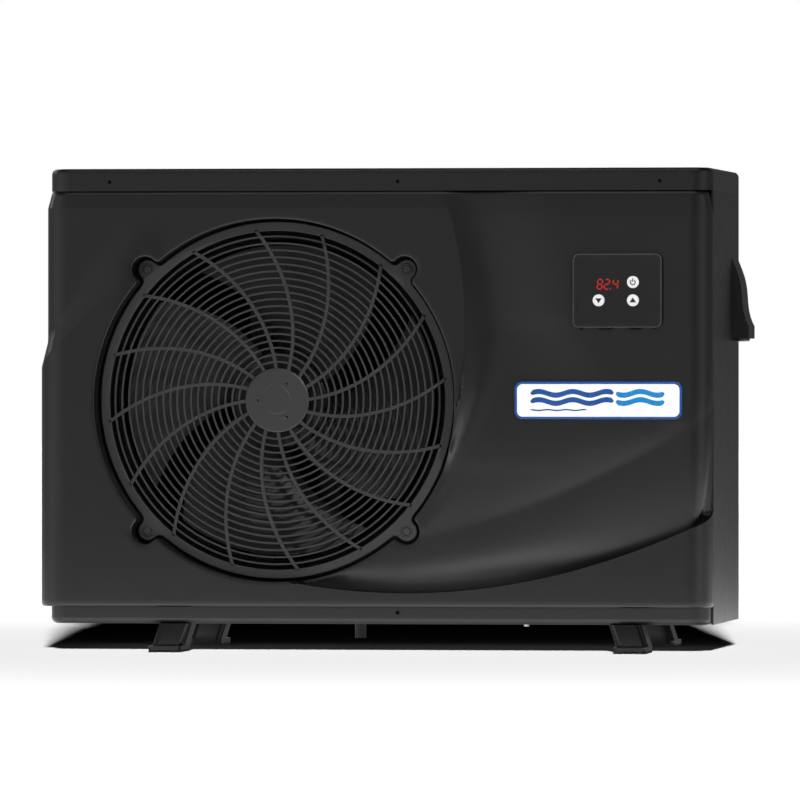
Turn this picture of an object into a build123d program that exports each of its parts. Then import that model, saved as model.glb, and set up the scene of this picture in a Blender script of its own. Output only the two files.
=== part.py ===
from build123d import *
import math
import os

# ---------------------------------------------------------------------------------------------
# Pool and spa heat pump. Millimetres, +Z up, the front faces -Y.
# The origin is on the ground, in the middle of the four anchor holes in the feet.
# ---------------------------------------------------------------------------------------------

# Casing
CASE_LEFT = -501.0
CASE_RIGHT = 443.0
CASE_FRONT = -200.0
CASE_BACK = 200.0
CORNER_R = 28.0
WALL = 3.0
GAP = 0.3
BASE_BOTTOM = 40.0
BASE_TOP = 64.0
PAN_FLOOR = BASE_BOTTOM + WALL
LID_BOTTOM = 652.0
LID_TOP = 684.0
EDGE_R = 8.0
LEFT_GUARD_FRONT = -118.0
LEFT_GUARD_BACK = CASE_BACK - CORNER_R
SIDE_PANEL_FRONT = -169.5
PARTITION_X = 125.0
PARTITION_WALL = 2.5
PARTITION_FRONT = -160.0
PIPE_PASS_R = 10.0

# Front panel
PANEL_FRONT = -206.0
PANEL_LEFT = -506.0
BODY_FRONT = -214.0
BODY_LEFT = -516.0
PANEL_CORNER_R = 30.0
BAND_START = 626.0
BAND_ANGLE = 14.0
RECESS_ORIGIN_Y = -173.0
RECESS_FALL_X = 0.0335
RECESS_FALL_Z = 0.0508
RECESS_REACH = 90.0
BULGE_START = (-384.0, 529.0)
BULGE_SIDE = (-440.0, 462.0)
BULGE_LEFT_Z = 403.0
VALLEY_LEFT = (-159.5, 100.0)
VALLEY_MIDDLE = (150.0, 95.0)
VALLEY_RIGHT = (423.5, 176.0)
VALLEY_END_Z = 180.0
RECESS_TOP = (70.8, 627.8)
RECESS_SIDE = (95.0, 457.6)
RECESS_LOW = (62.0, 267.0)
RECESS_RIGHT = ((480.0, 190.0), (480.0, 640.0))
STIFFENER_XS = (-440.0, 400.0)
STIFFENER_BACK = -188.0
LID_LIP_YS = (-196.8, -194.0)
LID_LIP_ZS = (642.0, 672.0)
BULGE_FLANGE_TOP = 400.0

# Fan, its grille and the pocket that they sit in
FAN_X = -177.0
FAN_Z = 356.0
POCKET_R = 256.5
POCKET_FLOOR = -172.0
EAR_SCREW_R = 262.0
EAR_POCKET_R = 18.0
EAR_PAD_R = 14.0
EAR_HOLE_R = 2.5
EAR_SCREW_SHANK_R = 2.4
M5_HEAD_R = 5.0
OPENING_R = 228.0
RIM_OUTER_R = 249.5
RIM_INNER_R = 240.0
GRILLE_FRONT = -180.0
RIB_DEPTH = 4.0
RING_COUNT = 19
RING_FIRST_R = 54.6
RING_PITCH = 9.87
RING_WIDTH = 2.7
SPOKE_COUNT = 16
SPOKE_WIDTH = 4.8
SPOKE_SLANT = 1.16
SPOKE_START_DEG = 15.6
SPOKE_TURN_PER_MM = 0.142
HUB_DISC_R = 45.5
HUB_HOLE_R = 3.0
HUB_HOLE_CIRCLE_R = 27.4
BLADE_COUNT = 4
BLADE_TIP_R = 220.0
BLADE_ROOT_R = 66.0
BLADE_SPAN_DEG = 73.0
BLADE_EDGE_DEG = 54.0
BLADE_MID_R = 145.0
BLADE_SWEEP_PER_MM = 0.195
BLADE_FRONT = -152.0
BLADE_DEPTH = 42.0
BLADE_THICK = 2.4
BLADE_CAMBER = 6.0
FAN_HUB_R = 70.0
FAN_HUB_FRONT = -158.0
FAN_HUB_BACK = -104.0
SHROUD_BACK = -110.0
SHAFT_R = 6.0
SHAFT_GAP = 0.05
MOTOR_R = 55.0
MOTOR_FRONT = -95.0
MOTOR_BACK = -5.0
SHAFT_FRONT = -168.0
FAN_NUT_R = 9.5
FAN_NUT_H = 8.0
SHAFT_BACK = -60.0
MOTOR_COLLAR_R = 20.0
RAIL_TOP = 645.0
RAIL_DEPTH = 20.0

# Controls
CONTROL_X = 311.0
CONTROL_Z = 510.5
BEZEL_W = 126.0
BEZEL_H = 104.0
BEZEL_FRONT = -210.0
PANEL_CUT_W = 118.0
PANEL_CUT_H = 96.0
WINDOW_W = 115.6
WINDOW_H = 93.6
WINDOW_FRONT = -209.6
WINDOW_BACK = -207.0
FRAME_CUT_W = 110.0
FRAME_CUT_H = 88.0
MEMBRANE_FRONT = -201.6
MEMBRANE_BACK = -200.0
BUTTON_R = 8.4
BUTTON_FRONT = -210.9
BUTTON_BACK = -203.5
POWER_BUTTON = (333.3, 522.4)
DOWN_BUTTON = (284.8, 496.8)
UP_BUTTON = (333.3, 496.8)
DISPLAY = (298.0, 520.0)
DISPLAY_W = 34.0
DISPLAY_H = 20.0
BADGE_X = 284.0
BADGE_Z = 356.0
BADGE_W = 237.0
BADGE_H = 53.0
BADGE_THICK = 2.5
BADGE_CORNER_R = 9.0

# Feet
ANCHOR_X = 330.5
ANCHOR_Y = 222.0
ANCHOR_HOLE_R = 6.5
ANCHOR_BOSS_R = 9.5
FOOT_W = 46.0
FOOT_BACK_Y = 138.0
FOOT_FRONT_Y = 236.0
FOOT_LEG_FRONT_Y = 198.0
FOOT_LEAN = 10.0
FOOT_FLANGE = 6.0
PAD_H = 3.0
PAN_BOLT_R = 4.0
PAN_BOLT_HOLE_R = 4.1
PAN_BOLT_LENGTH = 20.0
PAN_BOLT_HEAD_R = 7.5
PAN_BOLT_HEAD_H = 5.3
PAN_BOLT_YS = (152.0, 184.0)

# Case screws
LID_SCREW_XS = (-414.0, -2.0, 370.0)
BASE_SCREW_X = -2.0
SCREW_SINK = 1.0
SCREW_PROUD = 1.5
SCREW_LENGTH = 8.0
LID_SCREW_Z = 665.0
BASE_SCREW_Z = 56.0
SCREW_HEAD_R = 2.6
SCREW_SHANK_R = 1.6
SCREW_HOLE_R = 1.8

# Cable-entry hood on the right side
HOOD_Y = 118.0
HOOD_HALF_W = 41.0
HOOD_WALL = 2.5
HOOD_BOTTOM = 444.0
HOOD_TOP = 560.0
HOOD_LIP = 24.5
HOOD_TAB_W = 11.0
HOOD_TAB_H = 2.0
HOOD_SCREW_ZS = (456.0, 530.0)
HOOD_BEND_Z = 462.0
HOOD_CURVE = ((20.0, 472.0), (16.5, 486.0), (14.5, 508.0), (11.0, 530.0), (6.0, 545.0))
HOOD_SLOT_W = 60.0
HOOD_SLOT_ZS = (485.0, 525.0)
HOOD_SCREW_R = 2.0
HOOD_SCREW_HEAD_R = 4.0
HOOD_SCREW_HEAD = 2.2
GLAND_X = 453.5
GLAND_YS = (99.0, 137.0)
GLAND_PLATE_Z = 462.0
GLAND_PLATE_H = 3.0
GLAND_PLATE_DEPTH = 18.0
GLAND_HEX_H = 8.0
GLAND_BORE_R = 5.0
GLAND_THREAD_R = 6.5
GLAND_THREAD_TOP = 469.0
GLAND_NUT_R = 9.5
GLAND_TIP_Z = 440.0

# Compressor bay
COMPRESSOR_X = 215.0
COMPRESSOR_Y = -70.0
COMPRESSOR_R = 62.0
COMPRESSOR_TOP = 340.0
PLATE_BOTTOM = 52.0
PLATE_TOP = 56.0
MOUNT_CIRCLE_R = 82.0
MOUNT_ARM_R = 15.0
GROMMET_R = 12.0
ACCUMULATOR_X = 160.0
ACCUMULATOR_Y = 25.0
ACCUMULATOR_R = 28.0
ACCUMULATOR_TOP = 280.0
ACCUMULATOR_BOTTOM = 75.0
ACCUMULATOR_END_R = 15.0
ACCUMULATOR_STUD_R = 8.0
VESSEL_X = 330.0
VESSEL_Y = 60.0
VESSEL_R = 60.0
VESSEL_WALL = 6.0
VESSEL_TOP = 350.0
STRAP_ZS = (95.0, 230.0)
STRAP_T = 1.5
STRAP_W = 20.0
WATER_ZS = (180.0, 300.0)
PIPE_R = 31.0
PIPE_BORE_R = 24.0
PIPE_END = 240.0
UNION_END = 275.0
SOCKET_R = 24.2
TAIL_R = 29.0
NUT_R = 38.0
COPPER_R = 6.35
COPPER_BORE_R = 5.3
VALVE_Z = 415.0
VALVE_Y = -10.0
BOX_LOW = (140.0, -150.0, 470.0)
BOX_HIGH = (430.0, -20.0, 640.0)

# Evaporator
COIL_BOTTOM = 66.0
COIL_TOP = 640.0
COIL_THICK = 36.0
COIL_LEFT = -482.0
COIL_BACK = 176.0
COIL_RIGHT = 100.0
COIL_FRONT = -110.0
COIL_PLATE = 1.5
BEND_COUNT = 11
BEND_PITCH = 50.0
BEND_SPAN = 25.0
BEND_R = 5.0

DRAIN_X = -100.0
DRAIN_Y = 120.0
DRAIN_R = 9.0
DRAIN_FLANGE_R = 16.0
SPIGOT_R = 8.0
SPIGOT_TOP = 36.0
DRAIN_BORE_R = 5.5
DRAIN_TIP = 12.0


# --------------------------------------------------------------------------------- helpers
def front_plane(y):
    """A plane at depth y that faces the front: its own axes are world X and world Z."""
    return Plane.XZ.offset(-y)


def side_plane(x):
    """A plane at x that faces right: its own axes are world Y and world Z."""
    return Plane.YZ.offset(x)


def corner_box(low, high, mode=Mode.ADD):
    """A box between two opposite corners, in the part being built."""
    sizes = [b - a for a, b in zip(low, high)]
    middle = [(a + b) / 2 for a, b in zip(low, high)]
    with Locations(tuple(middle)):
        Box(*sizes, mode=mode)


def rod(start, end, radius, mode=Mode.ADD):
    """A round bar from one point to another, in the part being built."""
    along = Vector(*end) - Vector(*start)
    with Locations(Plane(origin=start, z_dir=along)):
        Cylinder(
            radius, along.length, align=(Align.CENTER, Align.CENTER, Align.MIN), mode=mode
        )


def write(piece, label):
    """Name a finished piece and write it to its own file."""
    piece.part.label = label
    export_step(piece.part, f"parts/{label}.step")


def case_ring(bottom, top):
    """The upright wall all round the case, 3 mm thick, between two heights."""
    width = CASE_RIGHT - CASE_LEFT
    depth = CASE_BACK - CASE_FRONT
    centre = ((CASE_LEFT + CASE_RIGHT) / 2, 0)
    with BuildPart() as ring:
        with BuildSketch(Plane.XY.offset(bottom)):
            with Locations(centre):
                RectangleRounded(width, depth, CORNER_R)
                RectangleRounded(
                    width - 2 * WALL, depth - 2 * WALL, CORNER_R - WALL, mode=Mode.SUBTRACT
                )
        extrude(amount=top - bottom)
    return ring.part


def bent_tube(points, bend, outer_r, bore_r):
    """A bent tube along straight runs joined by equal arcs."""
    with BuildPart() as tube:
        with BuildLine() as route:
            FilletPolyline(*points, radius=bend)
        with BuildSketch(Plane(origin=route.line @ 0, z_dir=route.line % 0)):
            Circle(outer_r)
            Circle(bore_r, mode=Mode.SUBTRACT)
        sweep()
    return tube.part


os.makedirs("parts", exist_ok=True)

# -------------------------------------------------------------------------------- base pan
PAN_RIGHT = CASE_RIGHT - WALL - 0.2
PAN_CENTRE = ((CASE_LEFT + PAN_RIGHT) / 2, 0)
PAN_W = PAN_RIGHT - CASE_LEFT
PAN_D = CASE_BACK - CASE_FRONT


def compressor_mounts():
    """The three places round the compressor where its plate is bolted down."""
    return [
        (
            COMPRESSOR_X + MOUNT_CIRCLE_R * math.cos(math.radians(turn)),
            COMPRESSOR_Y + MOUNT_CIRCLE_R * math.sin(math.radians(turn)),
        )
        for turn in (0, 120, 240)
    ]


def foot_bolt_places():
    """Where the pan is bolted down to the four feet."""
    x = ANCHOR_X - FOOT_LEAN / 2
    return [(a * x, b * y) for a in (-1, 1) for b in (-1, 1) for y in PAN_BOLT_YS]


with BuildPart() as base_pan:
    with BuildSketch(Plane.XY.offset(BASE_BOTTOM)):
        with Locations(PAN_CENTRE):
            RectangleRounded(PAN_W, PAN_D, CORNER_R - WALL)
    extrude(amount=BASE_TOP - BASE_BOTTOM)
    fillet(base_pan.edges().group_by(Axis.Z)[0], radius=EDGE_R)
    with BuildSketch(Plane.XY.offset(PAN_FLOOR)):
        with Locations(PAN_CENTRE):
            RectangleRounded(PAN_W - 2 * WALL, PAN_D - 2 * WALL, CORNER_R - 2 * WALL)
    extrude(amount=BASE_TOP - PAN_FLOOR, mode=Mode.SUBTRACT)
    with Locations(*[(x, y, BASE_BOTTOM) for x, y in foot_bolt_places() + compressor_mounts()]):
        Cylinder(PAN_BOLT_HOLE_R, 4 * WALL, mode=Mode.SUBTRACT)
    with Locations((DRAIN_X, DRAIN_Y, BASE_BOTTOM)):
        Cylinder(DRAIN_R + GAP, 4 * WALL, mode=Mode.SUBTRACT)
    with Locations((BASE_SCREW_X, 0, BASE_SCREW_Z)):
        Cylinder(SCREW_HOLE_R, PAN_D + EDGE_R, rotation=(90, 0, 0), mode=Mode.SUBTRACT)
write(base_pan, "base_pan")

# ------------------------------------------------------------------------------------- lid
LID_CENTRE = ((CASE_LEFT + CASE_RIGHT) / 2, 0)
LID_W = CASE_RIGHT - CASE_LEFT
LID_D = CASE_BACK - CASE_FRONT

with BuildPart() as lid:
    with BuildSketch(Plane.XY.offset(LID_BOTTOM)):
        with Locations(LID_CENTRE):
            RectangleRounded(LID_W, LID_D, CORNER_R)
    extrude(amount=LID_TOP - LID_BOTTOM)
    fillet(lid.edges().group_by(Axis.Z)[-1], radius=EDGE_R)
    with BuildSketch(Plane.XY.offset(LID_BOTTOM)):
        with Locations(LID_CENTRE):
            RectangleRounded(LID_W - 2 * WALL, LID_D - 2 * WALL, CORNER_R - WALL)
    extrude(amount=LID_TOP - LID_BOTTOM - WALL, mode=Mode.SUBTRACT)
    with Locations(*[(x, 0, LID_SCREW_Z) for x in LID_SCREW_XS]):
        Cylinder(SCREW_HOLE_R, LID_D + EDGE_R, rotation=(90, 0, 0), mode=Mode.SUBTRACT)
    for side in (CASE_FRONT, CASE_BACK):
        with Locations(*[(x, side, LID_SCREW_Z) for x in LID_SCREW_XS]):
            Cylinder(SCREW_HEAD_R, 2 * SCREW_SINK, rotation=(90, 0, 0), mode=Mode.SUBTRACT)
write(lid, "lid")


# ----------------------------------------------------------------------------- front panel
def lower_body(inset):
    """The prouder lower part of the front: it runs under the fan and along the bottom."""
    depth = 2 * abs(BODY_FRONT) - 2 * inset
    width = CASE_RIGHT - BODY_LEFT - 2 * inset
    with BuildPart() as body:
        with BuildSketch(Plane.XY.offset(BASE_TOP - inset)):
            with Locations(((BODY_LEFT + CASE_RIGHT) / 2, 0)):
                RectangleRounded(width, depth, PANEL_CORNER_R - inset)
        extrude(amount=FAN_Z + POCKET_R - BASE_TOP)
        with BuildSketch(front_plane(0)):
            with BuildLine():
                left_top = (BODY_LEFT, BULGE_LEFT_Z - inset)
                crease_end = (BULGE_START[0], BULGE_START[1] - inset)
                arc_start = (VALLEY_LEFT[0], VALLEY_LEFT[1] - inset)
                arc_middle = (VALLEY_MIDDLE[0], VALLEY_MIDDLE[1] - inset)
                arc_end = (VALLEY_RIGHT[0], VALLEY_RIGHT[1] - inset)
                ThreePointArc(left_top, (BULGE_SIDE[0], BULGE_SIDE[1] - inset), crease_end)
                Line(crease_end, arc_start)
                ThreePointArc(arc_start, arc_middle, arc_end)
                Polyline(
                    arc_end,
                    (CASE_RIGHT + WALL, VALLEY_END_Z - inset),
                    (CASE_RIGHT + WALL, BASE_TOP - WALL),
                    (BODY_LEFT, BASE_TOP - WALL),
                    left_top,
                )
            make_face()
        extrude(amount=abs(BODY_FRONT), mode=Mode.INTERSECT)
    return body.part


def recess(inset):
    """The hollow that falls away from the controls towards the fan's lower right."""
    floor = Plane(
        origin=(0, RECESS_ORIGIN_Y + inset, 0),
        x_dir=(1, -RECESS_FALL_X, 0),
        z_dir=(-RECESS_FALL_X, -1, -RECESS_FALL_Z),
    )
    with BuildPart() as hollow:
        with BuildSketch(floor) as outline:
            with BuildLine():
                ThreePointArc(RECESS_TOP, RECESS_SIDE, RECESS_LOW)
                Line(RECESS_LOW, VALLEY_LEFT)
                ThreePointArc(VALLEY_LEFT, VALLEY_MIDDLE, VALLEY_RIGHT)
                Polyline(VALLEY_RIGHT, *RECESS_RIGHT, RECESS_TOP)
            make_face()
            if inset:
                offset(amount=inset)
        extrude(amount=RECESS_REACH)
    return hollow.part


def fan_pocket(inset):
    """The round pocket for the fan grille, with a small pocket for each of its ears."""
    with BuildPart() as pocket:
        with BuildSketch(front_plane(POCKET_FLOOR + inset)):
            with Locations((FAN_X, FAN_Z)):
                Circle(POCKET_R + inset)
                with PolarLocations(EAR_SCREW_R, 4, start_angle=45):
                    Circle(EAR_POCKET_R + inset)
        extrude(amount=RECESS_REACH)
    return pocket.part


def panel_form(inset):
    """The outside of the front panel as a solid block, moved inwards by the inset."""
    depth = 2 * abs(PANEL_FRONT) - 2 * inset
    width = CASE_RIGHT - PANEL_LEFT - 2 * inset
    centre = ((PANEL_LEFT + CASE_RIGHT) / 2, 0)
    body = lower_body(inset)
    hollow = recess(inset)
    pocket = fan_pocket(inset)
    with BuildPart() as form:
        with BuildSketch(Plane.XY.offset(BASE_TOP - inset)):
            with Locations(centre):
                RectangleRounded(width, depth, PANEL_CORNER_R - inset)
        extrude(amount=BAND_START - BASE_TOP + inset)
        with BuildSketch(Plane.XY.offset(BAND_START)):
            with Locations(centre):
                RectangleRounded(width, depth, PANEL_CORNER_R - inset)
        extrude(amount=LID_BOTTOM - BAND_START + inset, taper=BAND_ANGLE)
        add(body)
        add(hollow, mode=Mode.SUBTRACT)
        add(pocket, mode=Mode.SUBTRACT)
        with BuildSketch(front_plane(POCKET_FLOOR + inset)):
            with Locations((BADGE_X, BADGE_Z)):
                RectangleRounded(BADGE_W - 2 * inset, BADGE_H - 2 * inset, BADGE_CORNER_R - inset)
        extrude(amount=POCKET_FLOOR - PANEL_FRONT)
    return form.part


panel_outside = panel_form(0.0)
panel_inside = panel_form(WALL)
with BuildPart() as front_panel:
    add(panel_outside)
    add(panel_inside, mode=Mode.SUBTRACT)
    corner_box(
        (BODY_LEFT - WALL, LEFT_GUARD_FRONT, 0), (CASE_RIGHT + WALL, -BODY_FRONT + WALL, LID_TOP),
        mode=Mode.SUBTRACT,
    )
    corner_box(
        (PARTITION_X, SIDE_PANEL_FRONT - GAP, 0), (CASE_RIGHT + WALL, 0, LID_TOP),
        mode=Mode.SUBTRACT,
    )
    corner_box(
        (STIFFENER_XS[0], BODY_FRONT + WALL, BASE_TOP),
        (STIFFENER_XS[1], STIFFENER_BACK, BASE_TOP + WALL),
    )
    corner_box(
        (PANEL_LEFT + 1, LEFT_GUARD_FRONT - WALL, BASE_TOP),
        (CASE_LEFT + WALL, LEFT_GUARD_FRONT, BAND_START),
    )
    corner_box(
        (BODY_LEFT + 1, LEFT_GUARD_FRONT - WALL, BASE_TOP),
        (PANEL_LEFT + 1, LEFT_GUARD_FRONT, BULGE_FLANGE_TOP),
    )
    corner_box(
        (STIFFENER_XS[0], LID_LIP_YS[0], LID_LIP_ZS[0]),
        (STIFFENER_XS[1], LID_LIP_YS[1], LID_LIP_ZS[1]),
    )
    with Locations((FAN_X, POCKET_FLOOR, FAN_Z)):
        Cylinder(OPENING_R, 4 * WALL, rotation=(90, 0, 0), mode=Mode.SUBTRACT)
    with BuildSketch(front_plane(POCKET_FLOOR - 6 * WALL)):
        with Locations((CONTROL_X, CONTROL_Z)):
            RectangleRounded(PANEL_CUT_W, PANEL_CUT_H, BADGE_CORNER_R)
    extrude(amount=RECESS_REACH, mode=Mode.SUBTRACT)
    with Locations(*[(x, LID_LIP_YS[0], LID_SCREW_Z) for x in LID_SCREW_XS]):
        Cylinder(SCREW_HOLE_R, 10, rotation=(90, 0, 0), mode=Mode.SUBTRACT)
    with BuildSketch(front_plane(POCKET_FLOOR + 2 * WALL)):
        with Locations((FAN_X, FAN_Z)):
            with PolarLocations(EAR_SCREW_R, 4, start_angle=45):
                Circle(EAR_HOLE_R)
    extrude(amount=4 * WALL, mode=Mode.SUBTRACT)
write(front_panel, "front_panel")

# --------------------------------------------------------------------- side and rear walls
with BuildPart() as right_side_panel:
    add(case_ring(BASE_BOTTOM, LID_BOTTOM))
    corner_box(
        (CASE_RIGHT - CORNER_R - 2, SIDE_PANEL_FRONT, BASE_BOTTOM), (CASE_RIGHT, CASE_BACK, LID_BOTTOM),
        mode=Mode.INTERSECT,
    )
    corner_box(
        (CASE_RIGHT - CORNER_R - 2, CASE_BACK - CORNER_R, BASE_BOTTOM), (CASE_RIGHT, CASE_BACK, BASE_TOP),
        mode=Mode.SUBTRACT,
    )
    corner_box(
        (CASE_RIGHT - 2 * WALL, HOOD_Y - HOOD_SLOT_W / 2, HOOD_SLOT_ZS[0]),
        (CASE_RIGHT + WALL, HOOD_Y + HOOD_SLOT_W / 2, HOOD_SLOT_ZS[1]),
        mode=Mode.SUBTRACT,
    )
write(right_side_panel, "right_side_panel")

with BuildPart() as corner_post:
    add(case_ring(BASE_TOP, LID_BOTTOM))
    corner_box(
        (CASE_LEFT, CASE_BACK - CORNER_R, BASE_TOP), (CASE_LEFT + CORNER_R, CASE_BACK, LID_BOTTOM),
        mode=Mode.INTERSECT,
    )
write(corner_post, "corner_post")

with BuildPart() as rear_panel:
    corner_box(
        (PARTITION_X + PARTITION_WALL, CASE_BACK - WALL, BASE_TOP),
        (CASE_RIGHT - CORNER_R - 2 - GAP, CASE_BACK, LID_BOTTOM),
    )
    with Locations(*[(VESSEL_X, CASE_BACK, z) for z in WATER_ZS]):
        Cylinder(PIPE_R + 1, 4 * WALL, rotation=(90, 0, 0), mode=Mode.SUBTRACT)
write(rear_panel, "rear_panel")

GUARD_BORDER = 14.0
GUARD_ROWS = 29
GUARD_BAR = 4.0


def guard_slots(low, high, columns):
    """The slots of a coil guard between two opposite corners of its frame."""
    width = high[0] - low[0] - 2 * GUARD_BORDER
    height = high[1] - low[1] - 2 * GUARD_BORDER
    with Locations(((low[0] + high[0]) / 2, (low[1] + high[1]) / 2)):
        with GridLocations(width / columns, height / GUARD_ROWS, columns, GUARD_ROWS):
            Rectangle(width / columns - GUARD_BAR, height / GUARD_ROWS - GUARD_BAR)


REAR_GUARD_LEFT = CASE_LEFT + CORNER_R
REAR_GUARD_RIGHT = PARTITION_X + PARTITION_WALL - GAP
with BuildPart() as rear_grille:
    corner_box((REAR_GUARD_LEFT, CASE_BACK - WALL, BASE_TOP), (REAR_GUARD_RIGHT, CASE_BACK, LID_BOTTOM))
    with BuildSketch(front_plane(CASE_BACK)):
        guard_slots((REAR_GUARD_LEFT, BASE_TOP), (REAR_GUARD_RIGHT, LID_BOTTOM), 6)
    extrude(amount=WALL, mode=Mode.SUBTRACT)
write(rear_grille, "rear_grille")

with BuildPart() as left_grille:
    corner_box(
        (CASE_LEFT, LEFT_GUARD_FRONT, BASE_TOP), (CASE_LEFT + WALL, LEFT_GUARD_BACK, LID_BOTTOM)
    )
    with BuildSketch(side_plane(CASE_LEFT)):
        guard_slots((LEFT_GUARD_FRONT, BASE_TOP), (LEFT_GUARD_BACK, LID_BOTTOM), 3)
    extrude(amount=WALL, mode=Mode.SUBTRACT)
write(left_grille, "left_grille")


# ------------------------------------------------------------------------------ fan grille
def grille_ring(radius):
    """One thin ring of the grille as a flat sketch."""
    with BuildSketch() as ring:
        Circle(radius + RING_WIDTH / 2)
        Circle(radius - RING_WIDTH / 2, mode=Mode.SUBTRACT)
    return ring.sketch


def spoke_point(radius, turn, side):
    """A point on one edge of a spiral spoke. Angles run clockwise from the right."""
    swept = SPOKE_TURN_PER_MM * (RIM_INNER_R - radius)
    lean = math.degrees(side * SPOKE_WIDTH / 2 / radius)
    angle = math.radians(turn + swept + lean * SPOKE_SLANT)
    return (radius * math.cos(angle), -radius * math.sin(angle))


def spoke_edge(turn, side):
    """The points along one edge of a spoke, from under the hub disc to inside the rim."""
    steps = 6
    reach = (RIM_INNER_R + 6 - HUB_DISC_R) / steps
    radii = [HUB_DISC_R - 3 + step * reach for step in range(steps + 1)]
    return [spoke_point(radius, turn, side) for radius in radii]


with BuildPart() as fan_grille:
    rib_back = (FAN_X, GRILLE_FRONT + RIB_DEPTH, FAN_Z)
    with BuildSketch(Plane(origin=rib_back, x_dir=(1, 0, 0), z_dir=(0, -1, 0))):
        Circle(HUB_DISC_R)
        for index in range(SPOKE_COUNT):
            turn = SPOKE_START_DEG + index * 360 / SPOKE_COUNT
            with BuildLine():
                leading = Spline(*spoke_edge(turn, 1))
                trailing = Spline(*spoke_edge(turn, -1))
                Line(leading @ 0, trailing @ 0)
                Line(leading @ 1, trailing @ 1)
            make_face()
        for index in range(RING_COUNT):
            add(grille_ring(RING_FIRST_R + index * RING_PITCH))
        with PolarLocations(HUB_HOLE_CIRCLE_R, 3, start_angle=60):
            Circle(HUB_HOLE_R, mode=Mode.SUBTRACT)
    extrude(amount=RIB_DEPTH)
    with BuildSketch(front_plane(POCKET_FLOOR)):
        with Locations((FAN_X, FAN_Z)):
            Circle(RIM_OUTER_R)
            with PolarLocations(EAR_SCREW_R, 4, start_angle=45):
                Circle(EAR_PAD_R)
            Circle(RIM_INNER_R, mode=Mode.SUBTRACT)
            with PolarLocations(EAR_SCREW_R, 4, start_angle=45):
                Circle(EAR_HOLE_R, mode=Mode.SUBTRACT)
    extrude(amount=POCKET_FLOOR - GRILLE_FRONT)
write(fan_grille, "fan_grille")

with BuildPart() as fan_shroud:
    with BuildSketch(front_plane(POCKET_FLOOR + 2 * WALL)):
        with Locations((FAN_X, FAN_Z)):
            Circle(POCKET_R - 1)
            Circle(OPENING_R, mode=Mode.SUBTRACT)
    extrude(amount=WALL)
    with BuildSketch(front_plane(SHROUD_BACK)):
        with Locations((FAN_X, FAN_Z)):
            Circle(OPENING_R + WALL)
            Circle(OPENING_R, mode=Mode.SUBTRACT)
    extrude(amount=SHROUD_BACK - POCKET_FLOOR - 2 * WALL)
write(fan_shroud, "fan_shroud")


# ------------------------------------------------------------------------------------- fan
def blade_surface(turn):
    """The curved sheet of one blade. Angles run clockwise from the right, seen from the front."""
    radial_steps = 6
    turning_steps = 6
    rows = []
    for i in range(radial_steps + 1):
        radius = BLADE_ROOT_R + i * (BLADE_TIP_R - BLADE_ROOT_R) / radial_steps
        sweep_back = BLADE_SWEEP_PER_MM * (BLADE_MID_R - radius)
        row = []
        for j in range(turning_steps + 1):
            share = j / turning_steps
            angle = math.radians(turn + sweep_back - BLADE_SPAN_DEG * share)
            camber = BLADE_CAMBER * math.sin(math.pi * share)
            row.append(
                Vector(
                    FAN_X + radius * math.cos(angle),
                    BLADE_FRONT + BLADE_DEPTH * share - camber,
                    FAN_Z - radius * math.sin(angle),
                )
            )
        rows.append(row)
    return Face.make_surface_from_array_of_points(rows)


blade_faces = [
    blade_surface(BLADE_EDGE_DEG + index * 360 / BLADE_COUNT) for index in range(BLADE_COUNT)
]
with BuildPart() as fan_blade:
    with BuildSketch(front_plane(FAN_HUB_BACK)):
        with Locations((FAN_X, FAN_Z)):
            Circle(FAN_HUB_R)
    extrude(amount=FAN_HUB_BACK - FAN_HUB_FRONT)
    fillet(fan_blade.edges().group_by(Axis.Y)[0], radius=EDGE_R)
    for blade in blade_faces:
        thicken(blade, amount=BLADE_THICK)
    with BuildSketch(front_plane(FAN_HUB_BACK + WALL)):
        with Locations((FAN_X, FAN_Z)):
            Circle(FAN_HUB_R - WALL)
            Circle(SHAFT_R + EDGE_R, mode=Mode.SUBTRACT)
    extrude(amount=FAN_HUB_BACK - FAN_HUB_FRONT - WALL, mode=Mode.SUBTRACT)
    rod((FAN_X, SHAFT_FRONT - 2, FAN_Z), (FAN_X, MOTOR_FRONT, FAN_Z), SHAFT_R, mode=Mode.SUBTRACT)
write(fan_blade, "fan_blade")

with BuildPart() as fan_nut:
    with BuildSketch(front_plane(FAN_HUB_FRONT)):
        with Locations((FAN_X, FAN_Z)):
            RegularPolygon(FAN_NUT_R, 6)
            Circle(SHAFT_R, mode=Mode.SUBTRACT)
    extrude(amount=FAN_NUT_H)
write(fan_nut, "fan_nut")

with BuildPart() as motor_shaft:
    rod((FAN_X, SHAFT_FRONT, FAN_Z), (FAN_X, SHAFT_BACK, FAN_Z), SHAFT_R)
write(motor_shaft, "motor_shaft")

with BuildPart() as fan_motor:
    rod((FAN_X, MOTOR_FRONT, FAN_Z), (FAN_X, MOTOR_BACK, FAN_Z), MOTOR_R)
    fillet(fan_motor.edges(), radius=EDGE_R)
    rod((FAN_X, MOTOR_FRONT - 4, FAN_Z), (FAN_X, MOTOR_FRONT + 4, FAN_Z), MOTOR_COLLAR_R)
    rod(
        (FAN_X, MOTOR_FRONT - 6, FAN_Z), (FAN_X, SHAFT_BACK + 1, FAN_Z), SHAFT_R + SHAFT_GAP,
        mode=Mode.SUBTRACT,
    )
write(fan_motor, "fan_motor")

RAIL_X = 50.0
RAIL_W = 30.0
MOTOR_SCREW = (22.0, 40.0)
MOTOR_SCREW_R = 2.5
MOTOR_SCREW_HOLE_R = 2.6
MOTOR_SCREW_HEAD = 3.5
BRACKET_HALF = 70.0
BRACKET_FRONT = MOTOR_BACK
BRACKET_BACK = MOTOR_BACK + WALL

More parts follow.
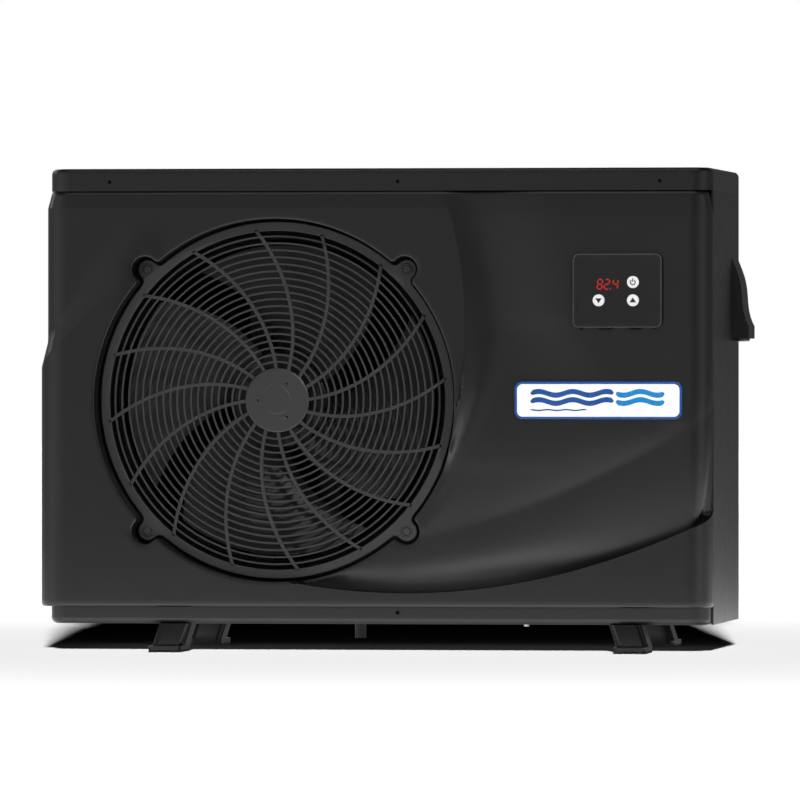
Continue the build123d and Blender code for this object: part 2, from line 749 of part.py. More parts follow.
with BuildPart() as motor_bracket:
    corner_box(
        (FAN_X - BRACKET_HALF, BRACKET_FRONT, FAN_Z - BRACKET_HALF),
        (FAN_X + BRACKET_HALF, BRACKET_BACK, FAN_Z + BRACKET_HALF),
    )
    for side in (-1, 1):
        rail = FAN_X + side * RAIL_X
        corner_box(
            (rail - RAIL_W / 2, BRACKET_BACK, PAN_FLOOR),
            (rail + RAIL_W / 2, BRACKET_BACK + RAIL_DEPTH, RAIL_TOP),
        )
        corner_box(
            (rail - RAIL_W / 2 + WALL, BRACKET_BACK + WALL, PAN_FLOOR + WALL),
            (rail + RAIL_W / 2 - WALL, BRACKET_BACK + RAIL_DEPTH, RAIL_TOP),
            mode=Mode.SUBTRACT,
        )
    with BuildSketch(front_plane(BRACKET_BACK)):
        with Locations((FAN_X, FAN_Z)):
            with GridLocations(2 * MOTOR_SCREW[0], 2 * MOTOR_SCREW[1], 2, 2):
                Circle(MOTOR_SCREW_HOLE_R)
    extrude(amount=WALL, mode=Mode.SUBTRACT)
write(motor_bracket, "motor_bracket")

with BuildPart() as motor_screws:
    for side in (-1, 1):
        for level in (-1, 1):
            x = FAN_X + side * MOTOR_SCREW[0]
            z = FAN_Z + level * MOTOR_SCREW[1]
            rod((x, BRACKET_FRONT, z), (x, BRACKET_BACK, z), MOTOR_SCREW_R)
            rod((x, BRACKET_BACK, z), (x, BRACKET_BACK + MOTOR_SCREW_HEAD, z), M5_HEAD_R)
write(motor_screws, "motor_screws")

with BuildPart() as grille_screws:
    for index in range(4):
        turn = math.radians(45 + 90 * index)
        x = FAN_X + EAR_SCREW_R * math.cos(turn)
        z = FAN_Z + EAR_SCREW_R * math.sin(turn)
        rod((x, GRILLE_FRONT, z), (x, POCKET_FLOOR + WALL, z), EAR_SCREW_SHANK_R)
        rod((x, GRILLE_FRONT - EAR_HOLE_R, z), (x, GRILLE_FRONT, z), M5_HEAD_R)
write(grille_screws, "grille_screws")

# ------------------------------------------------------------------------ feet and fasteners
FLANGE_TOP = PAD_H + FOOT_FLANGE
FOOT_CENTRE_Y = (FOOT_BACK_Y + FOOT_FRONT_Y) / 2
LEG_CENTRE_Y = (FOOT_BACK_Y + FOOT_LEG_FRONT_Y) / 2
LEG_LENGTH = FOOT_LEG_FRONT_Y - FOOT_BACK_Y


def foot(x_sign, y_sign):
    """A splayed foot: a leaning leg on a flange that holds the anchor hole."""
    with BuildPart() as piece:
        with BuildSketch(Plane.XY.offset(FLANGE_TOP)):
            with Locations((x_sign * ANCHOR_X, y_sign * LEG_CENTRE_Y)):
                RectangleRounded(FOOT_W, LEG_LENGTH, EDGE_R)
        with BuildSketch(Plane.XY.offset(BASE_BOTTOM)):
            with Locations((x_sign * (ANCHOR_X - FOOT_LEAN), y_sign * LEG_CENTRE_Y)):
                RectangleRounded(FOOT_W, LEG_LENGTH, EDGE_R)
        loft()
        with BuildSketch(Plane.XY.offset(PAD_H)):
            with Locations((x_sign * ANCHOR_X, y_sign * FOOT_CENTRE_Y)):
                RectangleRounded(FOOT_W, FOOT_FRONT_Y - FOOT_BACK_Y, EDGE_R)
        extrude(amount=FOOT_FLANGE)
        with BuildSketch(Plane.XY):
            with Locations((x_sign * ANCHOR_X, y_sign * ANCHOR_Y)):
                Circle(ANCHOR_BOSS_R)
        extrude(amount=PAD_H)
        with Locations((x_sign * ANCHOR_X, y_sign * ANCHOR_Y, PAD_H)):
            Cylinder(ANCHOR_HOLE_R, 4 * FOOT_FLANGE, mode=Mode.SUBTRACT)
        x = x_sign * (ANCHOR_X - FOOT_LEAN / 2)
        with Locations(*[(x, y_sign * y, BASE_BOTTOM) for y in PAN_BOLT_YS]):
            Cylinder(PAN_BOLT_HOLE_R, 2 * PAN_BOLT_LENGTH, mode=Mode.SUBTRACT)
    return piece


write(foot(-1, -1), "foot_front_left")
write(foot(1, -1), "foot_front_right")
write(foot(-1, 1), "foot_rear_left")
write(foot(1, 1), "foot_rear_right")

with BuildPart() as foot_pads:
    with BuildSketch(Plane.XY):
        for x in (-ANCHOR_X, ANCHOR_X):
            for side in (-1, 1):
                with Locations((x, side * FOOT_CENTRE_Y)):
                    RectangleRounded(FOOT_W, FOOT_FRONT_Y - FOOT_BACK_Y, EDGE_R)
                with Locations((x, side * ANCHOR_Y)):
                    Circle(ANCHOR_BOSS_R + GAP, mode=Mode.SUBTRACT)
                with Locations((x, side * (ANCHOR_Y + FOOT_W / 2))):
                    Rectangle(2 * ANCHOR_BOSS_R + 2 * GAP, FOOT_W, mode=Mode.SUBTRACT)
    extrude(amount=PAD_H)
write(foot_pads, "foot_pads")

with BuildPart() as pan_bolts:
    for seat, places in ((PAN_FLOOR, foot_bolt_places()), (PLATE_TOP, compressor_mounts())):
        with BuildSketch(Plane.XY.offset(seat)):
            with Locations(*places):
                RegularPolygon(PAN_BOLT_HEAD_R, 6)
        extrude(amount=PAN_BOLT_HEAD_H)
        with BuildSketch(Plane.XY.offset(seat)):
            with Locations(*places):
                Circle(PAN_BOLT_R)
        extrude(amount=-PAN_BOLT_LENGTH)
write(pan_bolts, "pan_bolts")


def case_screw(x, side, z, proud, sunk):
    """A screw whose head stands proud of the case wall or is sunk into it."""
    head = side * (CASE_BACK + proud)
    seat = side * (CASE_BACK - sunk)
    rod((x, head, z), (x, seat, z), SCREW_HEAD_R)
    rod((x, seat, z), (x, side * (CASE_BACK - SCREW_LENGTH), z), SCREW_SHANK_R)


with BuildPart() as case_screws:
    for side in (-1, 1):
        for x in LID_SCREW_XS:
            case_screw(x, side, LID_SCREW_Z, 0.0, SCREW_SINK)
        case_screw(BASE_SCREW_X, side, BASE_SCREW_Z, SCREW_PROUD, 0.0)
write(case_screws, "case_screws")


# ------------------------------------------------------------------------- cable-entry hood
def hood_form(inset):
    """The hood as a solid block whose walls are moved inwards by the inset."""
    half_width = HOOD_HALF_W - inset
    wall_x = CASE_RIGHT - inset
    bottom_right = (wall_x + HOOD_LIP, HOOD_BOTTOM)
    bend = (wall_x + HOOD_LIP, HOOD_BEND_Z)
    top = (CASE_RIGHT, HOOD_TOP - inset)
    bulge = [(wall_x + out, z - inset / 2) for out, z in HOOD_CURVE]
    with BuildPart() as form:
        with BuildSketch(front_plane(HOOD_Y + half_width)):
            with BuildLine():
                Spline(bend, *bulge, top)
                Polyline(bend, bottom_right, (CASE_RIGHT, HOOD_BOTTOM), top)
            make_face()
        extrude(amount=2 * half_width)
    return form.part


HOOD_REAR_Y = HOOD_Y + HOOD_HALF_W
HOOD_SCREW_Y = HOOD_REAR_Y + HOOD_TAB_W / 2
hood_outside = hood_form(0.0)
hood_inside = hood_form(HOOD_WALL)
with BuildPart() as side_hood:
    add(hood_outside)
    add(hood_inside, mode=Mode.SUBTRACT)
    corner_box(
        (CASE_RIGHT, HOOD_REAR_Y, HOOD_BOTTOM),
        (CASE_RIGHT + HOOD_TAB_H, HOOD_REAR_Y + HOOD_TAB_W, HOOD_TOP - HOOD_TAB_W),
    )
    with Locations(*[(CASE_RIGHT, HOOD_SCREW_Y, z) for z in HOOD_SCREW_ZS]):
        Cylinder(HOOD_SCREW_R + GAP / 3, 4 * HOOD_TAB_H, rotation=(0, 90, 0), mode=Mode.SUBTRACT)
write(side_hood, "side_hood")

with BuildPart() as hood_screws:
    for z in HOOD_SCREW_ZS:
        shoulder = CASE_RIGHT + HOOD_TAB_H
        rod((CASE_RIGHT, HOOD_SCREW_Y, z), (shoulder, HOOD_SCREW_Y, z), HOOD_SCREW_R)
        rod(
            (shoulder, HOOD_SCREW_Y, z), (shoulder + HOOD_SCREW_HEAD, HOOD_SCREW_Y, z),
            HOOD_SCREW_HEAD_R,
        )
write(hood_screws, "hood_screws")

with BuildPart() as gland_plate:
    corner_box(
        (CASE_RIGHT, HOOD_Y - HOOD_HALF_W + HOOD_WALL + 1, GLAND_PLATE_Z),
        (
            CASE_RIGHT + GLAND_PLATE_DEPTH,
            HOOD_Y + HOOD_HALF_W - HOOD_WALL - 1,
            GLAND_PLATE_Z + GLAND_PLATE_H,
        ),
    )
    with Locations(*[(GLAND_X, y, GLAND_PLATE_Z) for y in GLAND_YS]):
        Cylinder(GLAND_THREAD_R + 0.1, 4 * GLAND_PLATE_H, mode=Mode.SUBTRACT)
write(gland_plate, "gland_plate")


def cable_gland(y):
    """A cable gland that hangs from the gland plate: a hexagon body and a domed clamping nut."""
    with BuildPart() as gland:
        rod((GLAND_X, y, GLAND_THREAD_TOP), (GLAND_X, y, GLAND_PLATE_Z), GLAND_THREAD_R)
        with BuildSketch(Plane.XY.offset(GLAND_PLATE_Z)):
            with Locations((GLAND_X, y)):
                RegularPolygon(GLAND_NUT_R + 0.5, 6)
        extrude(amount=-GLAND_HEX_H)
        rod((GLAND_X, y, GLAND_PLATE_Z - GLAND_HEX_H), (GLAND_X, y, GLAND_TIP_Z), GLAND_NUT_R)
        fillet(gland.edges().group_by(Axis.Z)[0], radius=WALL)
        rod(
            (GLAND_X, y, GLAND_THREAD_TOP + 1), (GLAND_X, y, GLAND_TIP_Z - 1), GLAND_BORE_R,
            Mode.SUBTRACT,
        )
    return gland


write(cable_gland(GLAND_YS[0]), "cable_gland_power")
write(cable_gland(GLAND_YS[1]), "cable_gland_signal")

# -------------------------------------------------------------------------------- controls
with BuildPart() as control_bezel:
    with BuildSketch(front_plane(PANEL_FRONT)):
        with Locations((CONTROL_X, CONTROL_Z)):
            RectangleRounded(BEZEL_W, BEZEL_H, BADGE_CORNER_R)
    extrude(amount=PANEL_FRONT - BEZEL_FRONT)
    with BuildSketch(front_plane(MEMBRANE_BACK)):
        with Locations((CONTROL_X, CONTROL_Z)):
            RectangleRounded(PANEL_CUT_W - 1, PANEL_CUT_H - 1, BADGE_CORNER_R - 1)
    extrude(amount=MEMBRANE_BACK - PANEL_FRONT)
    with BuildSketch(front_plane(MEMBRANE_BACK)):
        with Locations((CONTROL_X, CONTROL_Z)):
            Rectangle(FRAME_CUT_W, FRAME_CUT_H)
    extrude(amount=MEMBRANE_BACK - BEZEL_FRONT, mode=Mode.SUBTRACT)
    with BuildSketch(front_plane(WINDOW_BACK)):
        with Locations((CONTROL_X, CONTROL_Z)):
            RectangleRounded(WINDOW_W + GAP, WINDOW_H + GAP, EDGE_R - WALL)
    extrude(amount=WINDOW_BACK - BEZEL_FRONT, mode=Mode.SUBTRACT)
write(control_bezel, "control_bezel")

with BuildPart() as control_window:
    with BuildSketch(front_plane(WINDOW_BACK)):
        with Locations((CONTROL_X, CONTROL_Z)):
            RectangleRounded(WINDOW_W, WINDOW_H, EDGE_R - WALL)
        with Locations(POWER_BUTTON, UP_BUTTON, DOWN_BUTTON):
            Circle(BUTTON_R + GAP, mode=Mode.SUBTRACT)
    extrude(amount=WINDOW_BACK - WINDOW_FRONT)
write(control_window, "control_window")

with BuildPart() as display_module:
    corner_box(
        (DISPLAY[0] - DISPLAY_W / 2, WINDOW_BACK, DISPLAY[1] - DISPLAY_H / 2),
        (DISPLAY[0] + DISPLAY_W / 2, MEMBRANE_FRONT, DISPLAY[1] + DISPLAY_H / 2),
    )
write(display_module, "display_module")

with BuildPart() as button_membrane:
    with BuildSketch(front_plane(MEMBRANE_BACK)):
        with Locations((CONTROL_X, CONTROL_Z)):
            Rectangle(FRAME_CUT_W - 1, FRAME_CUT_H - 1)
    extrude(amount=MEMBRANE_BACK - MEMBRANE_FRONT)
    with BuildSketch(front_plane(MEMBRANE_FRONT)):
        with Locations(POWER_BUTTON, UP_BUTTON, DOWN_BUTTON):
            Circle(BUTTON_R / 2)
    extrude(amount=0.5)
write(button_membrane, "button_membrane")


def push_button(place):
    """A round push button that stands a little proud of the window."""
    with BuildPart() as button:
        rod((place[0], BUTTON_BACK, place[1]), (place[0], BUTTON_FRONT, place[1]), BUTTON_R)
        fillet(button.edges().group_by(Axis.Y)[0], radius=0.8)
    return button


write(push_button(POWER_BUTTON), "power_button")
write(push_button(UP_BUTTON), "up_button")
write(push_button(DOWN_BUTTON), "down_button")

with BuildPart() as badge_plate:
    with BuildSketch(front_plane(PANEL_FRONT)):
        with Locations((BADGE_X, BADGE_Z)):
            RectangleRounded(BADGE_W, BADGE_H, BADGE_CORNER_R)
    extrude(amount=BADGE_THICK)
    fillet(badge_plate.edges().group_by(Axis.Y)[0], radius=1)
write(badge_plate, "badge_plate")

# ------------------------------------------------------------------- partition and evaporator
PIPE_PASS_Y = COIL_BACK - 0.72 * COIL_THICK
VAPOUR_Z = 379.0
LIQUID_Z = 120.0

with BuildPart() as partition_wall:
    corner_box(
        (PARTITION_X, PARTITION_FRONT, PAN_FLOOR),
        (PARTITION_X + PARTITION_WALL, CASE_BACK - 10, RAIL_TOP),
    )
    with Locations((PARTITION_X, PIPE_PASS_Y, VAPOUR_Z), (PARTITION_X, PIPE_PASS_Y, LIQUID_Z)):
        Cylinder(PIPE_PASS_R, 4 * WALL, rotation=(0, 90, 0), mode=Mode.SUBTRACT)
write(partition_wall, "partition_wall")

with BuildPart() as evaporator_fins:
    corner_box(
        (COIL_LEFT, COIL_BACK - COIL_THICK, COIL_BOTTOM), (COIL_RIGHT, COIL_BACK, COIL_TOP)
    )
    corner_box((COIL_LEFT, COIL_FRONT, COIL_BOTTOM), (COIL_LEFT + COIL_THICK, COIL_BACK, COIL_TOP))
    fillet(
        evaporator_fins.edges().filter_by(Axis.Z).sort_by_distance((COIL_LEFT, COIL_BACK, 0))[0],
        radius=COIL_THICK,
    )
write(evaporator_fins, "evaporator_fins")

with BuildPart() as coil_end_plates:
    corner_box(
        (COIL_RIGHT, COIL_BACK - COIL_THICK, COIL_BOTTOM), (COIL_RIGHT + COIL_PLATE, COIL_BACK, COIL_TOP)
    )
    corner_box(
        (COIL_LEFT, COIL_FRONT - COIL_PLATE, COIL_BOTTOM), (COIL_LEFT + COIL_THICK, COIL_FRONT, COIL_TOP)
    )
write(coil_end_plates, "coil_end_plates")


def return_bend(plane):
    """A half-round return bend that stands on a coil end plate."""
    with BuildPart() as bend:
        with BuildSketch(plane):
            with Locations((BEND_SPAN / 2, 0)):
                Circle(BEND_R)
        revolve(axis=Axis(plane.origin, -plane.y_dir), revolution_arc=180)
    return bend.part


with BuildPart() as evaporator_tubes:
    for index in range(BEND_COUNT):
        z = COIL_BOTTOM + BEND_PITCH * (index + 0.75)
        right_end = (COIL_RIGHT + COIL_PLATE, COIL_BACK - COIL_THICK / 4, z)
        left_end = (COIL_LEFT + COIL_THICK / 2, COIL_FRONT - COIL_PLATE, z)
        add(return_bend(Plane(origin=right_end, x_dir=(0, 0, -1), z_dir=(1, 0, 0))))
        add(return_bend(Plane(origin=left_end, x_dir=(0, 0, -1), z_dir=(0, -1, 0))))
write(evaporator_tubes, "evaporator_tubes")

# -------------------------------------------------------------------------------- compressor
with BuildPart() as compressor:
    rod((COMPRESSOR_X, COMPRESSOR_Y, PLATE_TOP), (COMPRESSOR_X, COMPRESSOR_Y, COMPRESSOR_TOP), COMPRESSOR_R)
    fillet(compressor.edges().group_by(Axis.Z)[-1], radius=COMPRESSOR_R / 2)
    with BuildSketch(Plane.XY.offset(PLATE_BOTTOM)):
        with Locations((COMPRESSOR_X, COMPRESSOR_Y)):
            Circle(COMPRESSOR_R)
            with PolarLocations(MOUNT_CIRCLE_R / 2, 3):
                Rectangle(MOUNT_CIRCLE_R, 2 * MOUNT_ARM_R)
        with Locations(*compressor_mounts()):
            Circle(MOUNT_ARM_R)
    extrude(amount=PLATE_TOP - PLATE_BOTTOM)
    with Locations(*[(x, y, PLATE_TOP) for x, y in compressor_mounts()]):
        Cylinder(PAN_BOLT_HOLE_R, 4 * WALL, mode=Mode.SUBTRACT)
write(compressor, "compressor")

with BuildPart() as compressor_grommets:
    with BuildSketch(Plane.XY.offset(PAN_FLOOR)):
        with Locations(*compressor_mounts()):
            Circle(GROMMET_R)
            Circle(PAN_BOLT_HOLE_R, mode=Mode.SUBTRACT)
    extrude(amount=PLATE_BOTTOM - PAN_FLOOR)
write(compressor_grommets, "compressor_grommets")

with BuildPart() as accumulator:
    rod(
        (ACCUMULATOR_X, ACCUMULATOR_Y, ACCUMULATOR_BOTTOM),
        (ACCUMULATOR_X, ACCUMULATOR_Y, ACCUMULATOR_TOP),
        ACCUMULATOR_R,
    )
    fillet(accumulator.edges().filter_by(GeomType.CIRCLE), radius=ACCUMULATOR_END_R)
    rod(
        (ACCUMULATOR_X, ACCUMULATOR_Y, PAN_FLOOR),
        (ACCUMULATOR_X, ACCUMULATOR_Y, ACCUMULATOR_BOTTOM + WALL),
        ACCUMULATOR_STUD_R,
    )
write(accumulator, "accumulator")

# ------------------------------------------------------------------- water side and its unions
with BuildPart() as exchanger_vessel:
    rod((VESSEL_X, VESSEL_Y, PAN_FLOOR), (VESSEL_X, VESSEL_Y, VESSEL_TOP), VESSEL_R)
    fillet(exchanger_vessel.edges().filter_by(GeomType.CIRCLE), radius=EDGE_R)
    rod(
        (VESSEL_X, VESSEL_Y, PAN_FLOOR + VESSEL_WALL),
        (VESSEL_X, VESSEL_Y, VESSEL_TOP - VESSEL_WALL),
        VESSEL_R - VESSEL_WALL,
        mode=Mode.SUBTRACT,
    )
    for z in WATER_ZS:
        rod((VESSEL_X, VESSEL_Y, z), (VESSEL_X, VESSEL_Y + 2 * VESSEL_R, z), PIPE_BORE_R, Mode.SUBTRACT)
write(exchanger_vessel, "exchanger_vessel")

with BuildPart() as exchanger_straps:
    for z in STRAP_ZS:
        with BuildSketch(Plane.XY.offset(z)):
            with Locations((VESSEL_X, VESSEL_Y)):
                Circle(VESSEL_R + STRAP_T)
                Circle(VESSEL_R, mode=Mode.SUBTRACT)
        extrude(amount=STRAP_W)
write(exchanger_straps, "exchanger_straps")

SWITCH_Y = 160.0
SWITCH_HALF = 15.0
SWITCH_H = 24.0
SWITCH_BOSS_R = 12.0
COLLAR_T = 4.0
COLLAR_R = 42.0
SWITCH_SEAT = WATER_ZS[0] + PIPE_R + 9


def water_pipe(z, switch_boss):
    """A stub from the vessel through the rear panel, cut to the vessel's round wall."""
    with BuildPart() as pipe:
        rod((VESSEL_X, VESSEL_Y + VESSEL_R / 2, z), (VESSEL_X, PIPE_END, z), PIPE_R)
        if switch_boss:
            rod((VESSEL_X, SWITCH_Y, z), (VESSEL_X, SWITCH_Y, SWITCH_SEAT), SWITCH_BOSS_R)
        rod((VESSEL_X, CASE_BACK, z), (VESSEL_X, CASE_BACK + COLLAR_T, z), COLLAR_R)
        rod((VESSEL_X, VESSEL_Y, z), (VESSEL_X, PIPE_END + 1, z), PIPE_BORE_R, Mode.SUBTRACT)
        rod((VESSEL_X, VESSEL_Y, 0), (VESSEL_X, VESSEL_Y, LID_TOP), VESSEL_R, Mode.SUBTRACT)
    return pipe


write(water_pipe(WATER_ZS[0], True), "water_inlet")
write(water_pipe(WATER_ZS[1], False), "water_outlet")

with BuildPart() as flow_switch:
    corner_box(
        (VESSEL_X - SWITCH_HALF, SWITCH_Y - SWITCH_HALF, SWITCH_SEAT),
        (VESSEL_X + SWITCH_HALF, SWITCH_Y + SWITCH_HALF, SWITCH_SEAT + SWITCH_H),
    )
    fillet(flow_switch.edges().filter_by(Axis.Z), radius=WALL)
write(flow_switch, "flow_switch")

SEAL_T = 3.0
SHOULDER = 4.0
NUT_START = PIPE_END - 18
NUT_LIP = PIPE_END + SEAL_T + SHOULDER + GAP
NUT_END = NUT_LIP + 6


def union_nut(z):
    """A ribbed union nut that screws over the pipe's end and holds the tail's shoulder."""
    with BuildPart() as nut:
        with BuildSketch(front_plane(NUT_END)):
            with Locations((VESSEL_X, z)):
                Circle(NUT_R - 2)
                with PolarLocations(NUT_R - WALL, 12):
                    Circle(WALL)
        extrude(amount=NUT_END - NUT_START)
        rod((VESSEL_X, NUT_START - 1, z), (VESSEL_X, NUT_LIP, z), PIPE_R + 0.05, Mode.SUBTRACT)
        rod((VESSEL_X, NUT_LIP - 1, z), (VESSEL_X, NUT_END + 1, z), TAIL_R + 2 * GAP, Mode.SUBTRACT)
    return nut


write(union_nut(WATER_ZS[0]), "union_nut_inlet")
write(union_nut(WATER_ZS[1]), "union_nut_outlet")

with BuildPart() as union_seals:
    with BuildSketch(front_plane(PIPE_END + SEAL_T)):
        for z in WATER_ZS:
            with Locations((VESSEL_X, z)):
                Circle(PIPE_R - 1)
                Circle(PIPE_BORE_R, mode=Mode.SUBTRACT)
    extrude(amount=SEAL_T)
write(union_seals, "union_seals")

with BuildPart() as union_tails:
    for z in WATER_ZS:
        rod((VESSEL_X, PIPE_END + SEAL_T, z), (VESSEL_X, UNION_END, z), TAIL_R)
        rod((VESSEL_X, PIPE_END + SEAL_T, z), (VESSEL_X, PIPE_END + SEAL_T + SHOULDER, z), PIPE_R - GAP)
        rod((VESSEL_X, PIPE_END + 1, z), (VESSEL_X, UNION_END, z), PIPE_BORE_R - 1, Mode.SUBTRACT)
        rod((VESSEL_X, PIPE_END + 5, z), (VESSEL_X, UNION_END + 1, z), SOCKET_R, Mode.SUBTRACT)
write(union_tails, "union_tails")

with BuildPart() as drain_nozzle:
    rod((DRAIN_X, DRAIN_Y, PAN_FLOOR), (DRAIN_X, DRAIN_Y, PAN_FLOOR + 2), DRAIN_FLANGE_R)
    rod((DRAIN_X, DRAIN_Y, PAN_FLOOR), (DRAIN_X, DRAIN_Y, SPIGOT_TOP), DRAIN_R)
    rod((DRAIN_X, DRAIN_Y, SPIGOT_TOP), (DRAIN_X, DRAIN_Y, DRAIN_TIP), SPIGOT_R)
    rod((DRAIN_X, DRAIN_Y, PAN_FLOOR + 3), (DRAIN_X, DRAIN_Y, 0), DRAIN_BORE_R, Mode.SUBTRACT)
write(drain_nozzle, "drain_nozzle")

# ------------------------------------------------------------------------- refrigerant side
VALVE_R = 14.0
VALVE_XS = (160.0, 250.0)
STUB_R = 8.0
EXPANSION_R = 12.0
DISCHARGE_RUN_Z = 455.0
SUCTION_RUN_Z = 362.0
VESSEL_RUN_Z = 376.0
LIQUID_RUN_Z = 430.0
BEND_TIGHT = 12.0
BEND_MIDDLE = 14.0
BEND_WIDE = 16.0
STUB_DROP = 4.0
STUB_X = {"coil": 175.0, "suction": 205.0, "vessel": 235.0}
EXPANSION_Y = 75.0
EXPANSION_TOP = 330.0
EXPANSION_BOTTOM = 300.0

with BuildPart() as reversing_valve:
    rod((VALVE_XS[0], VALVE_Y, VALVE_Z), (VALVE_XS[1], VALVE_Y, VALVE_Z), VALVE_R)
    fillet(reversing_valve.edges().filter_by(GeomType.CIRCLE), radius=WALL)
    rod(
        (STUB_X["suction"], VALVE_Y, VALVE_Z),
        (STUB_X["suction"], VALVE_Y, VALVE_Z + VALVE_R + STUB_DROP),
        STUB_R,
    )
    for x in STUB_X.values():
        rod((x, VALVE_Y, VALVE_Z), (x, VALVE_Y, VALVE_Z - VALVE_R - STUB_DROP), STUB_R)
write(reversing_valve, "reversing_valve")

with BuildPart() as expansion_valve:
    rod(
        (ACCUMULATOR_X, EXPANSION_Y, EXPANSION_BOTTOM),
        (ACCUMULATOR_X, EXPANSION_Y, EXPANSION_TOP),
        EXPANSION_R,
    )
    fillet(expansion_valve.edges().filter_by(GeomType.CIRCLE), radius=WALL)
write(expansion_valve, "expansion_valve")

VALVE_UNDER = VALVE_Z - VALVE_R - STUB_DROP
VALVE_OVER = VALVE_Z + VALVE_R + STUB_DROP
COIL_END_X = COIL_RIGHT + COIL_PLATE
DISCHARGE = (COMPRESSOR_X + 15, COMPRESSOR_Y)
LIQUID_STUB = (VESSEL_X + 15, EXPANSION_Y)

discharge_pipe = bent_tube(
    [
        (DISCHARGE[0], DISCHARGE[1], COMPRESSOR_TOP),
        (DISCHARGE[0], DISCHARGE[1], DISCHARGE_RUN_Z),
        (STUB_X["suction"], VALVE_Y, DISCHARGE_RUN_Z),
        (STUB_X["suction"], VALVE_Y, VALVE_OVER),
    ],
    BEND_TIGHT, COPPER_R, COPPER_BORE_R,
)
suction_pipe = bent_tube(
    [
        (STUB_X["suction"], VALVE_Y, VALVE_UNDER),
        (STUB_X["suction"], VALVE_Y, SUCTION_RUN_Z),
        (ACCUMULATOR_X, ACCUMULATOR_Y, SUCTION_RUN_Z),
        (ACCUMULATOR_X, ACCUMULATOR_Y, ACCUMULATOR_TOP),
    ],
    BEND_MIDDLE, COPPER_R, COPPER_BORE_R,
)
vessel_pipe = bent_tube(
    [
        (STUB_X["vessel"], VALVE_Y, VALVE_UNDER),
        (STUB_X["vessel"], VALVE_Y, VESSEL_RUN_Z),
        (VESSEL_X, VESSEL_Y, VESSEL_RUN_Z),
        (VESSEL_X, VESSEL_Y, VESSEL_TOP),
    ],
    BEND_MIDDLE, COPPER_R, COPPER_BORE_R,
)
coil_pipe = bent_tube(
    [
        (STUB_X["coil"], VALVE_Y, VALVE_UNDER),
        (STUB_X["coil"], VALVE_Y, VAPOUR_Z),
        (STUB_X["coil"], PIPE_PASS_Y, VAPOUR_Z),
        (COIL_END_X, PIPE_PASS_Y, VAPOUR_Z),
    ],
    BEND_TIGHT, COPPER_R, COPPER_BORE_R,
)
liquid_pipe = bent_tube(
    [
        (LIQUID_STUB[0], LIQUID_STUB[1], VESSEL_TOP),
        (LIQUID_STUB[0], LIQUID_STUB[1], LIQUID_RUN_Z),
        (ACCUMULATOR_X, EXPANSION_Y, LIQUID_RUN_Z),
        (ACCUMULATOR_X, EXPANSION_Y, EXPANSION_TOP),
    ],
    BEND_WIDE, COPPER_R, COPPER_BORE_R,
)
feed_pipe = bent_tube(
    [
        (ACCUMULATOR_X, EXPANSION_Y, EXPANSION_BOTTOM),
        (ACCUMULATOR_X, EXPANSION_Y, LIQUID_Z),
        (ACCUMULATOR_X, PIPE_PASS_Y, LIQUID_Z),
        (COIL_END_X, PIPE_PASS_Y, LIQUID_Z),
    ],
    BEND_MIDDLE, COPPER_R, COPPER_BORE_R,
)
with BuildPart() as refrigerant_pipes:
    for pipe in (discharge_pipe, suction_pipe, vessel_pipe, coil_pipe, liquid_pipe, feed_pipe):
        add(pipe)
write(refrigerant_pipes, "refrigerant_pipes")

# ----------------------------------------------------------------------------------- electrics
with BuildPart() as electrical_box:
    corner_box(BOX_LOW, BOX_HIGH)
    corner_box(
        tuple(value + WALL for value in BOX_LOW), (BOX_HIGH[0] - WALL, BOX_HIGH[1] - WALL, LID_TOP),
        mode=Mode.SUBTRACT,
    )
write(electrical_box, "electrical_box")

BOARD_LOW = (155.0, -135.0, 482.0)
BOARD_HIGH = (330.0, -38.0, 483.6)
POST_PITCH_X = 155.0
POST_PITCH_Y = 80.0
POST_R = 3.0
BOARD_BLOCKS = (
    ((180.0, -110.0), (230.0, -70.0), 32.0),
    ((250.0, -120.0), (280.0, -95.0), 24.0),
    ((250.0, -80.0), (315.0, -60.0), 14.0),
)
CAPACITOR_X = 380.0
CAPACITOR_Y = -85.0
CAPACITOR_R = 22.0
CAPACITOR_TOP = 560.0
with BuildPart() as circuit_board:
    corner_box(BOARD_LOW, BOARD_HIGH)
    with Locations(((BOARD_LOW[0] + BOARD_HIGH[0]) / 2, (BOARD_LOW[1] + BOARD_HIGH[1]) / 2)):
        with GridLocations(POST_PITCH_X, POST_PITCH_Y, 2, 2) as posts:
            post_places = [(place.position.X, place.position.Y) for place in posts.locations]
    for x, y in post_places:
        rod((x, y, BOX_LOW[2] + WALL), (x, y, BOARD_LOW[2]), POST_R)
    for (left, front), (right, back), height in BOARD_BLOCKS:
        corner_box((left, front, BOARD_HIGH[2]), (right, back, BOARD_HIGH[2] + height))
write(circuit_board, "circuit_board")

with BuildPart() as capacitor:
    rod(
        (CAPACITOR_X, CAPACITOR_Y, BOX_LOW[2] + WALL),
        (CAPACITOR_X, CAPACITOR_Y, CAPACITOR_TOP),
        CAPACITOR_R,
    )
    fillet(capacitor.edges().group_by(Axis.Z)[-1], radius=WALL)
write(capacitor, "capacitor")
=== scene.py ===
import math

import bpy
import numpy as np
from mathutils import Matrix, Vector
from mathutils.geometry import delaunay_2d_cdt


